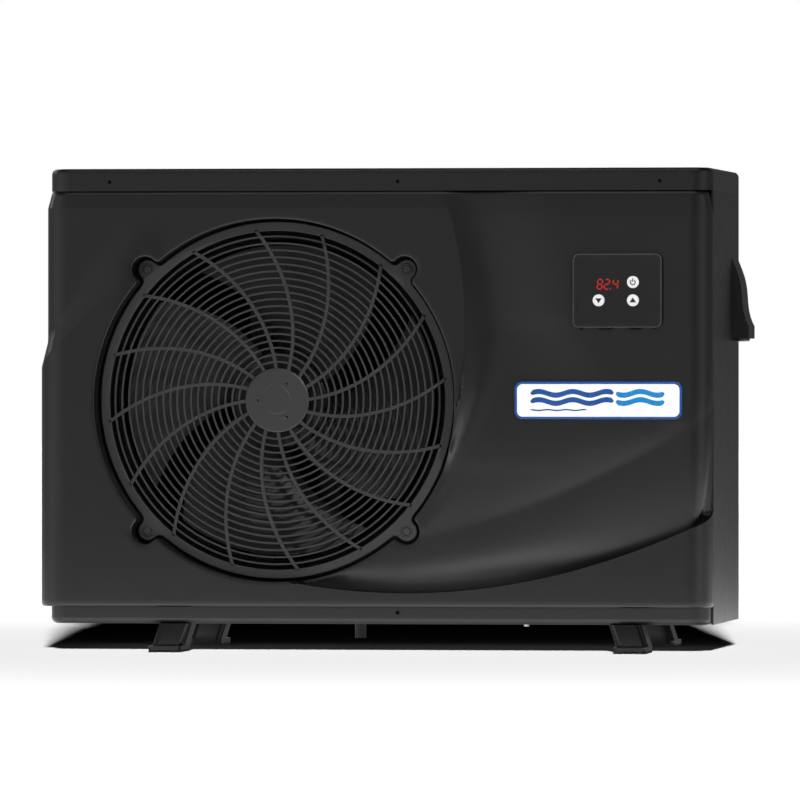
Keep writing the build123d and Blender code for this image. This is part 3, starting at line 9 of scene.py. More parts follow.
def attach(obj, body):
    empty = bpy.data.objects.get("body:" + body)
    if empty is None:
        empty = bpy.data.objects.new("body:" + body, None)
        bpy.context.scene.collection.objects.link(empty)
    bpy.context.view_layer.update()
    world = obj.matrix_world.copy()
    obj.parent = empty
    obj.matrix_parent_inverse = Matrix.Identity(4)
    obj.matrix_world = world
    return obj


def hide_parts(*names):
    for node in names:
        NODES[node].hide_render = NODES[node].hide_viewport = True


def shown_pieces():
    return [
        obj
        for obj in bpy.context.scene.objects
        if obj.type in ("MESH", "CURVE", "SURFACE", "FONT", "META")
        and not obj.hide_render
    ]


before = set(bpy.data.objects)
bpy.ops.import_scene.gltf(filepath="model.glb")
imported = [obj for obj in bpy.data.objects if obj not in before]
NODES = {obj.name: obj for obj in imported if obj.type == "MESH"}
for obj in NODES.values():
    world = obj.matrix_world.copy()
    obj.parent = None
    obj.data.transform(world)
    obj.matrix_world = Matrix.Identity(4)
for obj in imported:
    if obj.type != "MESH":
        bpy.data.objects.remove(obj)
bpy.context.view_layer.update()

MM = 0.001
CASING = "casing"

# The main sizes of the CAD model, in millimetres. The front faces -Y.
CASE_RIGHT = 443.0
PANEL_BOTTOM, PANEL_TOP = 64.0, 652.0
CORNER_R = 30.0
CORNER_LEFT_X, CORNER_RIGHT_X, CORNER_Y = -476.0, 413.0, -176.0
FAN_X, FAN_Z = -177.0, 356.0
POCKET_R, POCKET_FLOOR, OPENING_R = 256.5, -172.0, 228.0
EAR_SCREW_R, EAR_POCKET_R, EAR_PAD_R = 262.0, 18.0, 14.0
POCKET_BLEND_R = 6.0
RIM_OUTER_R, RIM_INNER_R = 249.5, 240.0
GRILLE_FRONT, GRILLE_BACK = -180.0, -172.0
HUB_R, RIB_START_R = 45.5, 42.0
CONTROL_X, CONTROL_Z = 311.0, 510.5
CONTROL_CUT = (118.0, 96.0, 9.0)
RIGHT_KEYS_X, DOWN_KEY_X, ARROW_KEYS_Z = 333.3, 284.8, 496.8
BADGE_X, BADGE_Z = 284.0, 356.0
BADGE_W, BADGE_H, BADGE_R = 237.0, 53.0, 9.0
BADGE_BACK, BADGE_RIM_FRONT, BADGE_FACE_FRONT = -206.0, -208.3, -208.5


# ---- materials ----
def new_node(tree, kind, **settings):
    """A new node with these settings."""
    made = tree.nodes.new(kind)
    for key, value in settings.items():
        setattr(made, key, value)
    return made


def map_range(tree, value, before, after, **settings):
    """A value mapped from one range to another."""
    made = new_node(tree, "ShaderNodeMapRange", **settings)
    for socket, number in zip(("From Min", "From Max", "To Min", "To Max"), (*before, *after)):
        made.inputs[socket].default_value = number
    tree.links.new(value, made.inputs["Value"])
    return made.outputs["Result"]


class Shader:
    """A principled material whose colour, roughness and fine relief come from noise."""

    def __init__(self, name):
        self.material = bpy.data.materials.new(name)
        self.material.use_nodes = True
        self.tree = self.material.node_tree
        self.bsdf = self.tree.nodes["Principled BSDF"]
        self.where = self.node("ShaderNodeTexCoord").outputs["Object"]

    def node(self, kind, **settings):
        return new_node(self.tree, kind, **settings)

    def link(self, start, end):
        self.tree.links.new(start, end)

    def stretched(self, scale):
        """Object coordinates scaled along each axis."""
        mapping = self.node("ShaderNodeMapping")
        mapping.inputs["Scale"].default_value = scale
        self.link(self.where, mapping.inputs["Vector"])
        return mapping.outputs["Vector"]

    def noise(self, scale, detail=3.0, stretch=None):
        """A noise over the object, finer as the scale grows."""
        made = self.node("ShaderNodeTexNoise")
        made.inputs["Scale"].default_value = scale
        made.inputs["Detail"].default_value = detail
        self.link(self.stretched(stretch) if stretch else self.where, made.inputs["Vector"])
        return made.outputs["Fac"]

    def spread(self, value, low, high):
        """A value between low and high that follows a noise."""
        return map_range(self.tree, value, (0.3, 0.7), (low, high))

    def colour(self, value, dark, light):
        """A base colour between two colours that follows a noise."""
        made = self.node("ShaderNodeMix", data_type="RGBA")
        made.inputs["A"].default_value = (*dark, 1)
        made.inputs["B"].default_value = (*light, 1)
        self.link(self.spread(value, 0.0, 1.0), made.inputs["Factor"])
        self.link(made.outputs["Result"], self.bsdf.inputs["Base Color"])

    def relief(self, value, strength, depth):
        """A fine relief from a noise, with its depth in millimetres."""
        made = self.node("ShaderNodeBump")
        made.inputs["Strength"].default_value = strength
        made.inputs["Distance"].default_value = depth * MM
        self.link(value, made.inputs["Height"])
        self.link(made.outputs["Normal"], self.bsdf.inputs["Normal"])

    def set(self, **values):
        """Sets constant values on the shader's own sockets."""
        for key, value in values.items():
            self.bsdf.inputs[key.replace("_", " ")].default_value = value


def finish_of(name, dark, light, rough, cloud=9.0, grain=900.0, bump=0.25, depth=0.05,
              stretch=None, **sockets):
    """A finish with a cloudy colour, uneven roughness and a fine grain."""
    shader = Shader(name)
    shader.colour(shader.noise(cloud, 5.0), dark, light)
    shader.link(shader.spread(shader.noise(cloud * 4), *rough), shader.bsdf.inputs["Roughness"])
    shader.relief(shader.noise(grain, 2.0, stretch), bump, depth)
    shader.set(**sockets)
    return shader.material


def grey(level, tint=0.0):
    """A grey whose blue is lifted by the tint."""
    return (level, level * (1 + tint / 2), level * (1 + tint))


SMOOTH = {"bump": 0.04, "depth": 0.01}
FINISHES = {
    "casing": finish_of(
        "moulded_casing", grey(0.0046, 0.05), grey(0.0056, 0.05), (0.3, 0.34),
        bump=0.12, depth=0.02,
    ),
    "sheet_metal": finish_of(
        "powder_coat", grey(0.0054, 0.05), grey(0.0064, 0.05), (0.34, 0.4), grain=1400.0,
        bump=0.2, depth=0.025,
    ),
    "guard": finish_of("guard_plastic", grey(0.006), grey(0.008), (0.4, 0.5), bump=0.2),
    "fan_grille": finish_of(
        "grille_plastic", grey(0.024, 0.04), grey(0.027, 0.04), (0.38, 0.46), bump=0.15, depth=0.02,
    ),
    "foot": finish_of("gloss_foot", grey(0.002), grey(0.003), (0.08, 0.14), bump=0.1, depth=0.02,
                      Specular_IOR_Level=0.25),
    "rubber": finish_of("rubber", grey(0.008), grey(0.014), (0.7, 0.85), grain=500.0, depth=0.1),
    "screw": finish_of("blackened_screw", grey(0.001), grey(0.002), (0.35, 0.45),
                       Specular_IOR_Level=0.05),
    "zinc": finish_of("zinc_plate", (0.5, 0.5, 0.47), (0.66, 0.66, 0.64), (0.28, 0.45), cloud=60.0,
                      Metallic=1.0),
    "steel": finish_of("turned_steel", (0.5, 0.51, 0.52), (0.6, 0.61, 0.62), (0.22, 0.34),
                       cloud=40.0, stretch=(0.1, 1, 1), Metallic=1.0),
    "bezel": finish_of("gloss_bezel", grey(0.012), grey(0.014), (0.1, 0.16), bump=0.05, depth=0.01),
    "window": finish_of("smoked_window", grey(0.006, 0.1), grey(0.008, 0.1), (0.16, 0.2), **SMOOTH),
    "display": finish_of("display_red", (0.03, 0.002, 0.002), (0.06, 0.003, 0.003), (0.2, 0.3)),
    "button": finish_of("button_white", grey(0.72), grey(0.8), (0.35, 0.45), bump=0.05, depth=0.01),
    "badge": finish_of("badge_white", grey(0.86), grey(0.9), (0.25, 0.32), **SMOOTH),
    "fan": finish_of("fan_plastic", grey(0.016), grey(0.02), (0.4, 0.5), bump=0.2,
                     Specular_IOR_Level=0.3),
    "motor": finish_of("motor_enamel", grey(0.02), grey(0.03), (0.35, 0.5)),
    "galvanised": finish_of("galvanised", (0.38, 0.39, 0.4), (0.55, 0.57, 0.58), (0.3, 0.5),
                            cloud=50.0, grain=120.0, Metallic=0.9),
    "fins": finish_of("blue_fins", (0.01, 0.03, 0.12), (0.02, 0.05, 0.2), (0.3, 0.45),
                      Metallic=0.6),
    "copper": finish_of("copper_tube", (0.5, 0.22, 0.12), (0.72, 0.38, 0.22), (0.25, 0.45),
                        cloud=30.0, Metallic=1.0),
    "compressor": finish_of("compressor_enamel", grey(0.012), grey(0.02), (0.3, 0.42)),
    "vessel": finish_of("vessel_plastic", grey(0.05), grey(0.07), (0.35, 0.45)),
    "union": finish_of("union_plastic", grey(0.012), grey(0.018), (0.25, 0.35), bump=0.15),
    "circuit": finish_of("solder_mask", (0.01, 0.08, 0.03), (0.02, 0.14, 0.05), (0.25, 0.4),
                         cloud=90.0),
    "capacitor": finish_of("drawn_can", (0.5, 0.5, 0.5), (0.62, 0.62, 0.62), (0.25, 0.4),
                           cloud=40.0, Metallic=1.0),
    "box": finish_of("galvanised_box", (0.4, 0.41, 0.42), (0.5, 0.52, 0.53), (0.35, 0.5),
                     cloud=50.0, grain=150.0, Metallic=0.8),
}
BLUE = finish_of("badge_blue", (0.002, 0.06, 0.25), (0.003, 0.07, 0.29), (0.25, 0.32), **SMOOTH)
CYAN = finish_of("badge_cyan", (0.0, 0.2, 0.52), (0.0, 0.23, 0.56), (0.25, 0.32), **SMOOTH)
# Painted highlight: a lighter grey ring that stands in for the light caught by the bezel's rounded
# front edge.
BEZEL_PAINTED_HIGHLIGHT = finish_of("bezel_edge_painted_highlight", grey(0.11), grey(0.13), (0.08, 0.12), **SMOOTH)
ICON = finish_of("icon_ink", grey(0.004), grey(0.006), (0.35, 0.45), **SMOOTH)
LED = finish_of("lit_segment", (0.3, 0.0, 0.0), (0.4, 0.005, 0.005), (0.3, 0.4),
                Emission_Color=(1.0, 0.02, 0.02, 1.0), Emission_Strength=0.35)

SLOT_OF = {
    "casing": "front_panel lid side_hood",
    "sheet_metal": "base_pan right_side_panel corner_post rear_panel",
    "guard": "rear_grille left_grille fan_shroud",
    "fan_grille": "fan_grille grille_screws",
    "fan": "fan_blade",
    "zinc": "fan_nut motor_screws pan_bolts exchanger_straps",
    "steel": "motor_shaft reversing_valve",
    "motor": "fan_motor motor_bracket",
    "galvanised": "gland_plate partition_wall coil_end_plates",
    "screw": "case_screws hood_screws",
    "foot": "foot_front_left foot_front_right foot_rear_left foot_rear_right",
    "rubber": "foot_pads button_membrane compressor_grommets union_seals",
    "union": "cable_gland_power cable_gland_signal water_inlet water_outlet flow_switch"
    " union_nut_inlet union_nut_outlet union_tails drain_nozzle",
    "bezel": "control_bezel",
    "window": "control_window",
    "display": "display_module",
    "button": "power_button up_button down_button",
    "badge": "badge_plate",
    "fins": "evaporator_fins",
    "copper": "evaporator_tubes expansion_valve refrigerant_pipes",
    "compressor": "compressor accumulator",
    "vessel": "exchanger_vessel",
    "box": "electrical_box",
    "circuit": "circuit_board",
    "capacitor": "capacitor",
}
for slot_name, members in SLOT_OF.items():
    for member in members.split():
        NODES[member].data.materials.clear()
        NODES[member].data.materials.append(FINISHES[slot_name])


# ---- mesh helpers ----
def add_piece(name, points, faces, slot, material=None, body=CASING, replaces=(), crease=35.0):
    """A new mesh piece. Points are in millimetres."""
    mesh = bpy.data.meshes.new(name)
    mesh.from_pydata([tuple(float(c) * MM for c in point) for point in points], [], faces)
    mesh.validate()
    mesh.materials.append(material or FINISHES[slot])
    mesh.shade_smooth()
    mesh.set_sharp_from_angle(angle=math.radians(crease))
    piece = bpy.data.objects.new(name, mesh)
    bpy.context.collection.objects.link(piece)
    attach(piece, body)
    if replaces:
        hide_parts(*replaces)
    return piece


def bevel(piece, width):
    """Rounds the sharp edges of a piece."""
    made = piece.modifiers.new("rounding", "BEVEL")
    made.width, made.segments = width * MM, 2
    made.limit_method, made.angle_limit = "ANGLE", math.radians(35.0)


def thicken(piece, depth):
    """Gives a one-sided skin a wall behind it."""
    made = piece.modifiers.new("wall", "SOLIDIFY")
    made.thickness, made.offset, made.use_even_offset = depth * MM, -1.0, False


def strip(first, second, count):
    """Faces between two closed rows of points that start at these indices."""
    return [
        (first + i, first + (i + 1) % count, second + (i + 1) % count, second + i)
        for i in range(count)
    ]


def rings_to_mesh(rings, shut_tube=True, start=0):
    """Points and faces through closed rings that have equal numbers of points. A shut tube
    also joins the last ring to the first."""
    count = len(rings[0])
    points = [tuple(p) for ring in rings for p in ring]
    faces = []
    for row in range(len(rings) if shut_tube else len(rings) - 1):
        after = (row + 1) % len(rings)
        faces += strip(start + row * count, start + after * count, count)
    return points, faces


def arc_points(x, z, radius, start, sweep, steps):
    """Points along an arc as seen from the front, anticlockwise when the sweep is positive."""
    angles = [start + sweep * i / steps for i in range(steps + 1)]
    return [(x + radius * math.cos(a), z + radius * math.sin(a)) for a in angles]


def circle_points(x, z, radius, count):
    """Points round a circle, anticlockwise."""
    return arc_points(x, z, radius, 0.0, 2 * math.pi, count)[:-1]


def rounded_rectangle(x, z, width, height, radius, corner_steps=6, side_steps=1):
    """Points round a rounded rectangle, anticlockwise from its lower right."""
    points = []
    for right, up, start in ((1, -1, -90), (1, 1, 0), (-1, 1, 90), (-1, -1, 180)):
        points += arc_points(
            x + right * (width / 2 - radius), z + up * (height / 2 - radius), radius,
            math.radians(start), math.pi / 2, corner_steps,
        )
    full = []
    for here, after in zip(points, points[1:] + points[:1]):
        full.append(here)
        if math.dist(here, after) > 2 * radius:
            for step in range(1, side_steps):
                share = step / side_steps
                full.append(tuple(a + (b - a) * share for a, b in zip(here, after)))
    return full


def eared_outline(radius, ear_radius, blend_radius):
    """The outline of a disc with four round ears, anticlockwise, with blended corners."""
    far, near = radius + blend_radius, ear_radius + blend_radius
    to_blend = math.acos((EAR_SCREW_R**2 + far**2 - near**2) / (2 * EAR_SCREW_R * far))
    between_ears = math.pi / 2 - 2 * to_blend
    steps = round(math.degrees(between_ears) / 1.5)
    outline = []
    for ear in range(4):
        middle = math.radians(45 + 90 * ear)
        outline += arc_points(0, 0, radius, middle - math.pi / 2 + to_blend, between_ears, steps)
        screw_x, screw_z = EAR_SCREW_R * math.cos(middle), EAR_SCREW_R * math.sin(middle)
        blends, from_blends = [], []
        for blend_at in (middle - to_blend, middle + to_blend):
            x, z = far * math.cos(blend_at), far * math.sin(blend_at)
            to_disc = math.atan2(-z, -x)
            to_ear = math.atan2(screw_z - z, screw_x - x)
            turn = (to_ear - to_disc + math.pi) % (2 * math.pi) - math.pi
            blends.append(arc_points(x, z, blend_radius, to_disc, turn, 6)[1:-1])
            from_blends.append(to_ear + math.pi)
        ear_sweep = 2 * ((middle - from_blends[0]) % (2 * math.pi))
        outline += blends[0]
        outline += arc_points(screw_x, screw_z, ear_radius, from_blends[0], ear_sweep, 16)
        outline += blends[1][::-1]
    return outline


def inside(loop, px, pz):
    """For many points at once, whether each lies within a closed outline."""
    loop = np.asarray(loop)
    hit = np.zeros(len(px), dtype=bool)
    for (x1, z1), (x2, z2) in zip(loop, np.roll(loop, -1, axis=0)):
        if z1 == z2:
            continue
        crosses = (z1 > pz) != (z2 > pz)
        hit ^= crosses & (px < (x2 - x1) * (pz - z1) / (z2 - z1) + x1)
    return hit


def far_from(points, chains, gap):
    """The points that are at least a gap away from every chain of points."""
    points = np.asarray(points)
    keep = np.ones(len(points), dtype=bool)
    for chain in chains:
        chain = np.asarray(chain)
        for start in range(0, len(chain), 64):
            part = chain[start : start + 64]
            squared = ((points[:, None, :] - part[None, :, :]) ** 2).sum(axis=2)
            keep &= squared.min(axis=1) > gap * gap
    return points[keep]


def triangulate(outline, holes, lines, loose):
    """Triangles within an outline that follow the holes and lines. Returns the points, the
    triangles and where each point that was given went."""
    given, edges = [], []
    for chain, shut in [(c, True) for c in [outline, *holes]] + [(c, False) for c in lines]:
        first = len(given)
        given += [tuple(p) for p in chain]
        count = len(chain)
        steps = range(count if shut else count - 1)
        edges += [(first + i, first + (i + 1) % count) for i in steps]
    given += [tuple(p) for p in loose]
    made = delaunay_2d_cdt([Vector(p) for p in given], edges, [], 0, 1e-5)
    flat = np.array([tuple(p) for p in made[0]])
    triangles = np.array([tuple(t) for t in made[2]])
    centre = flat[triangles].mean(axis=1)
    keep = inside(outline, centre[:, 0], centre[:, 1])
    for hole in holes:
        keep &= ~inside(hole, centre[:, 0], centre[:, 1])
    triangles = triangles[keep]
    a, b, c = (flat[triangles[:, k]] for k in range(3))
    area = (b[:, 0] - a[:, 0]) * (c[:, 1] - a[:, 1]) - (b[:, 1] - a[:, 1]) * (c[:, 0] - a[:, 0])
    triangles[area < 0] = triangles[area < 0][:, ::-1]
    triangles = triangles[np.abs(area) > 1e-6]
    went = {}
    for index, origins in enumerate(made[3]):
        for origin in origins:
            went[origin] = index
    return flat, triangles, went


# ---- the shape of the front ----
def ramp(start, end, value):
    """0 before start, 1 after end, and smooth between."""
    share = np.clip((value - start) / (end - start), 0, 1)
    return share * share * (3 - 2 * share)


def circle_through(p, q, r):
    """Centre and radius of the circle through three points."""
    p, q, r = map(np.array, (p, q, r))
    x, y = np.linalg.solve(2 * np.array([q - p, r - p]), [q @ q - p @ p, r @ r - p @ p])
    return x, y, math.hypot(p[0] - x, p[1] - y)


# The relief of the front, in millimetres. s runs along the front and z is the height.
FOLD_TOP, FOLD_END = 627.8, 267.0  # ends of the fold between the fan and the controls
FOLD = circle_through((70.8, FOLD_TOP), (95.1, 457.6), (62.2, FOLD_END))
BAND_LINE, SOFT_BAND_LINE = 628.0, 612.0  # where the band under the lid starts to lean back
BAND_FALL = 6.5  # how far the band leans back at its top
BODY_PROUD = 9.0  # how far the lower part stands proud
LEFT_EDGE_Z = 403.0  # top of the prouder part at the left corner
LEDGE = 1.3  # height of the ledge at the lower part's top
FOOT_ROUND = 4.0  # radius of the panel's lower edge
HOLLOW_START = -165.0  # the hollow's end under the fan
DEEPEST = 31.0  # the hollow and the valley together go no deeper
HOLLOW_TOP, LEAST_OVER_CREASE = 332.0, 45.0
HOLLOW_RISE, HOLLOW_FALL = 2.2, 2.6  # how sharply the hollow bends above and below the crease
LOWER_FALL, RIGHT_FALL = 19.0, 12.0  # fall from the crease to the lower edge, left and right
BADGE_FLAT, BADGE_BLEND = 1.0, 12.0  # the front is flat this far round the badge
VALLEY_SHIFT, SHIFT_RISE = 45.0, 105.0  # the valley is deepest this far right of the fold
VALLEY_DEPTHS = (300, 450, BAND_LINE, PANEL_TOP), (8, 13, 4, 2)
VALLEY_REACHES = (360, 480), (190, 105)
FADE_Z = 250.0  # below this the valley fades out towards the crease
FACET_DEPTH = 9.0
FACET_WIDTHS = (262, 405), (24, 52)
FACET_TOP, FACET_LOW = 440.0, 270.0  # the facet deepens between these heights
JOIN_LOW, JOIN_TOP = 300.0, 345.0  # the strip left of the fold rises out of the hollow


def fold_x(z):
    """The curved fold right of the fan. Below its end it follows the fan's pocket."""
    on_arc = FOLD[0] + np.sqrt(np.maximum(FOLD[2] ** 2 - (z - FOLD[1]) ** 2, 0))
    on_pocket = FAN_X + np.sqrt(np.maximum(POCKET_R**2 - (z - FAN_Z) ** 2, 0))
    return np.where(z > FOLD_END, on_arc, on_pocket)


def lower_edge_z(s):
    """The top of the prouder part along the bottom, right of the fan."""
    return 84 + 5.6e-4 * (s - 10) ** 2


def crease_z(s):
    """The soft crease across the hollow."""
    return 146 + 0.2 * (s + 30) + 4.2e-4 * (s + 30) ** 2


def left_edge_z(s):
    """The top of the prouder part left of the fan."""
    t = s + 511
    return np.maximum(LEFT_EDGE_Z + 1.2 * t - 0.0016 * t * t, LEFT_EDGE_Z)


def proud(s):
    """How far the lower part stands proud: it fades out round the right corner."""
    return BODY_PROUD * (1 - ramp(408, 452, s))


def hollow(s, z):
    """Depth of the hollow between the fan and the controls."""
    crease = crease_z(s)
    edge = lower_edge_z(s)
    top = np.maximum(HOLLOW_TOP - 0.1 * (s - BADGE_X), crease + LEAST_OVER_CREASE)
    at_crease = np.clip(21 - 0.062 * (s - 100), 2, 27)
    upper = at_crease * np.clip((top - z) / (top - crease), 0, 1) ** HOLLOW_RISE
    sigma = np.clip((crease - z) / np.maximum(crease - edge, 1), 0, 1)
    sharp = ramp(100, 320, s)
    fall = np.interp(s, [150, 420], [LOWER_FALL, RIGHT_FALL])
    eased = ramp(0, 1, sigma**HOLLOW_FALL)
    lower = at_crease + fall * ((1 - sharp) * eased + sharp * sigma**HOLLOW_RISE)
    depth = np.where(z > crease, upper, lower)
    around = np.hypot(
        np.maximum(np.abs(s - BADGE_X) - (BADGE_W / 2 - BADGE_R), 0),
        np.maximum(np.abs(z - BADGE_Z) - (BADGE_H / 2 - BADGE_R), 0),
    ) - BADGE_R
    return depth * ramp(BADGE_FLAT, BADGE_BLEND, around)


def valley(s, z):
    """Depth of the valley that follows the fold, and of the facet beside the fan's pocket."""
    t = s - fold_x(z)
    peak = VALLEY_SHIFT * np.clip((z - FOLD_END) / SHIFT_RISE, 0, 1)
    reach = np.interp(z, *VALLEY_REACHES)
    fade = np.clip((z - crease_z(s)) / (FADE_Z - crease_z(s)), 0, 1) ** 0.6
    fade = np.where(z > FADE_Z, 1, fade)
    most = np.interp(z, *VALLEY_DEPTHS) * fade
    start = most * (1 - ramp(FADE_Z, 290, z))
    rise = start + (most - start) * np.sin(np.pi / 2 * np.clip(t / np.maximum(peak, 1e-3), 0, 1))
    fall = most * 0.5 * (1 + np.cos(np.pi * np.clip((t - peak) / reach, 0, 1)))
    across = t / np.interp(z, *FACET_WIDTHS)
    facet = FACET_DEPTH * np.clip((FACET_TOP - z) / (FACET_TOP - FACET_LOW), 0, 1)
    facet = facet * (1 - ramp(0.35, 1.15, across))
    facet = facet * (1 - ramp(255, 290, z) * (1 - ramp(0, 0.7, across)))
    return np.where(t < peak, rise, fall) + facet * fade


def front_relief(s, z):
    """How far the front stands out from its plain face, in millimetres."""
    edge = lower_edge_z(s)
    right_of_fold = (s > fold_x(z) - 1e-6) & (z > edge) & (s > HOLLOW_START)
    depth = np.maximum(hollow(s, z) + valley(s, z), 0.01)
    depth = (depth**-8.0 + DEEPEST**-8.0) ** -0.125  # a smooth minimum of the two
    depth = depth * (1 - 0.85 * ramp(452, 466, s))  # it runs out round the right corner
    ledge = np.clip((edge + LEDGE - z) / LEDGE, 0, 1)
    in_hollow = proud(s) * ledge - depth * (1 - ledge)

    # Left of the fan the prouder part slopes back to the plain face above its edge.
    fade = ramp(-405, -330, s) * ramp(FAN_Z - 50, FAN_Z + 60, z)
    slope_width = 36 + 40 * ramp(-500, -400, s)
    left = proud(s) * (1 - fade) * np.clip(1 - (z - left_edge_z(s)) / slope_width, 0, 1)
    strip_left = (z > FOLD_END - 5) & (z < JOIN_TOP) & (s > FAN_X) & (s <= fold_x(z))
    at_fold = hollow(fold_x(z), z) + valley(fold_x(z), z)
    left = np.where(strip_left, -at_fold * (1 - ramp(JOIN_LOW, JOIN_TOP, z)), left)

    # The band leans back from a crisp line at the left and from a soft one at the right.
    shape = np.where(right_of_fold, in_hollow, left)
    crisp = -BAND_FALL * np.clip((z - BAND_LINE) / (PANEL_TOP - BAND_LINE), 0, 1)
    soft_share = np.clip((z - SOFT_BAND_LINE) / (PANEL_TOP - SOFT_BAND_LINE), 0, 1)
    soft = -BAND_FALL * soft_share**1.8
    shape = shape + crisp + (soft - crisp) * ramp(40, 110, s)
    drop = np.clip(PANEL_BOTTOM + FOOT_ROUND - z, 0, FOOT_ROUND)
    return shape - (FOOT_ROUND - np.sqrt(FOOT_ROUND**2 - drop**2))


# The panel's run along s: its return behind the left side, that side, the front between its
# two quarter-round corners, and a short run on the right side.
QUARTER = CORNER_R * math.pi / 2
LEFT_SIDE, RETURN_DEPTH, RIGHT_SIDE = 58.0, 9.0, 6
S_LEFT = CORNER_LEFT_X - QUARTER - LEFT_SIDE
S_START = S_LEFT - RETURN_DEPTH
S_END = CORNER_RIGHT_X + QUARTER + RIGHT_SIDE


def wrap(s, z, out):
    """Points of the panel: s runs along the plain front face and round its corners."""
    left_turn = np.clip((CORNER_LEFT_X - s) / CORNER_R, 0, math.pi / 2)
    right_turn = np.clip((s - CORNER_RIGHT_X) / CORNER_R, 0, math.pi / 2)
    x = np.clip(s, CORNER_LEFT_X, CORNER_RIGHT_X)
    radius = CORNER_R + out
    x = x - radius * np.sin(left_turn) + radius * np.sin(right_turn)
    y = CORNER_Y - radius * np.cos(left_turn) * np.cos(right_turn)
    past_left = np.clip(CORNER_LEFT_X - QUARTER - s, 0, None)
    on_side = np.minimum(past_left, LEFT_SIDE)
    y = y + on_side + np.clip(s - CORNER_RIGHT_X - QUARTER, 0, None)
    x = x + np.clip(past_left - LEFT_SIDE, 0, None)
    return np.stack([x, y, z], axis=-1)


def chain(function, start, end, step):
    """Points along a curve z = function(s)."""
    s = np.linspace(start, end, max(2, int(abs(end - start) / step)))
    return np.stack([s, function(s)], axis=-1)


def sideways_of(along):
    """Unit vectors at right angles to these, turned anticlockwise."""
    along = along / np.linalg.norm(along, axis=1)[:, None]
    return np.stack([-along[:, 1], along[:, 0]], axis=-1)


def beside(points, offset):
    """A chain moved sideways by an offset."""
    return points + offset * sideways_of(np.gradient(points, axis=0))


def pocket_outline(grow):
    """The outline of the fan's pocket with its four ears, made larger all round."""
    outline = eared_outline(POCKET_R + grow, EAR_POCKET_R + grow, POCKET_BLEND_R - grow)
    return [(FAN_X + x, FAN_Z + z) for x, z in outline]


def build_front_panel():
    """The moulded front as one skin: its relief, the rounded lip and wall of the pocket, and
    the pocket's floor up to the fan's opening."""
    lip = pocket_outline(2.5)
    cut = rounded_rectangle(CONTROL_X, CONTROL_Z, *CONTROL_CUT, side_steps=12)
    s_values = np.unique(np.concatenate([
        [S_START, S_START + 4.5], np.linspace(S_LEFT, -530, 8), np.arange(-527, -468, 3.0),
        np.arange(-462, 402, 7.0), np.arange(404, S_END - 1, 3.0), [S_END],
    ]))
    z_values = np.concatenate([
        PANEL_BOTTOM + np.array([0, 0.15, 0.6, 1.4, 2.5, FOOT_ROUND]), np.arange(74, 622, 7.0),
        [624, BAND_LINE, 632, 638, 645, PANEL_TOP],
    ])
    frame_loop = (
        [(s, z_values[0]) for s in s_values] + [(S_END, z) for z in z_values[1:-1]]
        + [(s, z_values[-1]) for s in s_values[::-1]] + [(S_START, z) for z in z_values[-2:0:-1]]
    )
    fold_z = np.linspace(FOLD_TOP - 1, 284, 90)
    fold = np.stack([fold_x(fold_z), fold_z], axis=-1)
    crisp = [
        chain(lambda s: np.full_like(s, BAND_LINE), S_START, 66, 5.0),
        chain(left_edge_z, S_START, -384, 3.0),
        fold,
        chain(lower_edge_z, -158, S_END, 3.5),
    ]
    soft = [chain(crease_z, -40, S_END, 5.0)]
    holes = [lip, cut]

    def clear(points, gap):
        """The points inside the frame that keep a gap from the holes."""
        points = np.asarray(points)
        inner = (points[:, 0] > S_START + 0.1) & (points[:, 0] < S_END - 0.1)
        inner &= (points[:, 1] > PANEL_BOTTOM + 0.1) & (points[:, 1] < PANEL_TOP - 0.1)
        for hole in holes:
            inner &= ~inside(hole, points[:, 0], points[:, 1])
        return far_from(points[inner], holes, gap)

    lines, rows = [], []
    for line in crisp + soft:
        kept = clear(line, 2.0)
        jumps = np.linalg.norm(np.diff(kept, axis=0), axis=1) > 12
        lines += [part for part in np.split(kept, np.where(jumps)[0] + 1) if len(part) > 1]
    for line in crisp:
        for offset in (-4.5, -1.3, 1.3, 4.5):
            rows.append(clear(beside(line, offset), 2.0))
    for radius in (POCKET_R + 6, POCKET_R + 11):
        rows.append(clear(circle_points(FAN_X, FAN_Z, radius, 260), 2.5))
    rows = [far_from(row, lines, 1.1) for row in rows]
    loose = np.concatenate(rows)
    grid = np.array([(s, z) for s in s_values[1:-1] for z in z_values[1:-1]])
    grid = far_from(clear(grid, 4.0), lines + rows, 3.2)
    edge_rows = np.array([(s, z) for s in s_values[1:-1] for z in z_values[1:6]])
    loose = np.concatenate([far_from(loose, [edge_rows], 0.9), grid, edge_rows])
    loose = np.unique(np.round(loose, 4), axis=0)
    flat, triangles, went = triangulate(frame_loop, holes, lines, loose)
    out = front_relief(flat[:, 0], flat[:, 1])
    points = [tuple(p) for p in wrap(flat[:, 0], flat[:, 1], out)]
    faces = [tuple(int(i) for i in t) for t in triangles]

    start = len(frame_loop)
    lip_index = [went[start + i] for i in range(len(lip))]
    lip_y = np.array([points[i][1] for i in lip_index])
    wall = np.array(pocket_outline(0.0))
    floor_y = np.full(len(wall), POCKET_FLOOR)
    angle = np.arctan2(wall[:, 1] - FAN_Z, wall[:, 0] - FAN_X)
    mouth = np.stack([FAN_X + OPENING_R * np.cos(angle), FAN_Z + OPENING_R * np.sin(angle)], axis=-1)
    previous = lip_index
    for flat_ring, ys in (
        (pocket_outline(0.7), lip_y + 0.7), (wall, lip_y + 2.6), (wall, floor_y - 0.8),
        (pocket_outline(-0.8), floor_y), (mouth, floor_y),
    ):
        first = len(points)
        points += [(x, y, z) for (x, z), y in zip(flat_ring, ys)]
        count = len(flat_ring)
        ring = list(range(first, first + count))
        faces += [
            (previous[i], previous[(i + 1) % count], ring[(i + 1) % count], ring[i])
            for i in range(count)
        ]
        previous = ring
    panel = add_piece(
        "front_panel_skin", points, faces, "casing", replaces=["front_panel"], crease=50.0
    )
    thicken(panel, 3.0)


build_front_panel()


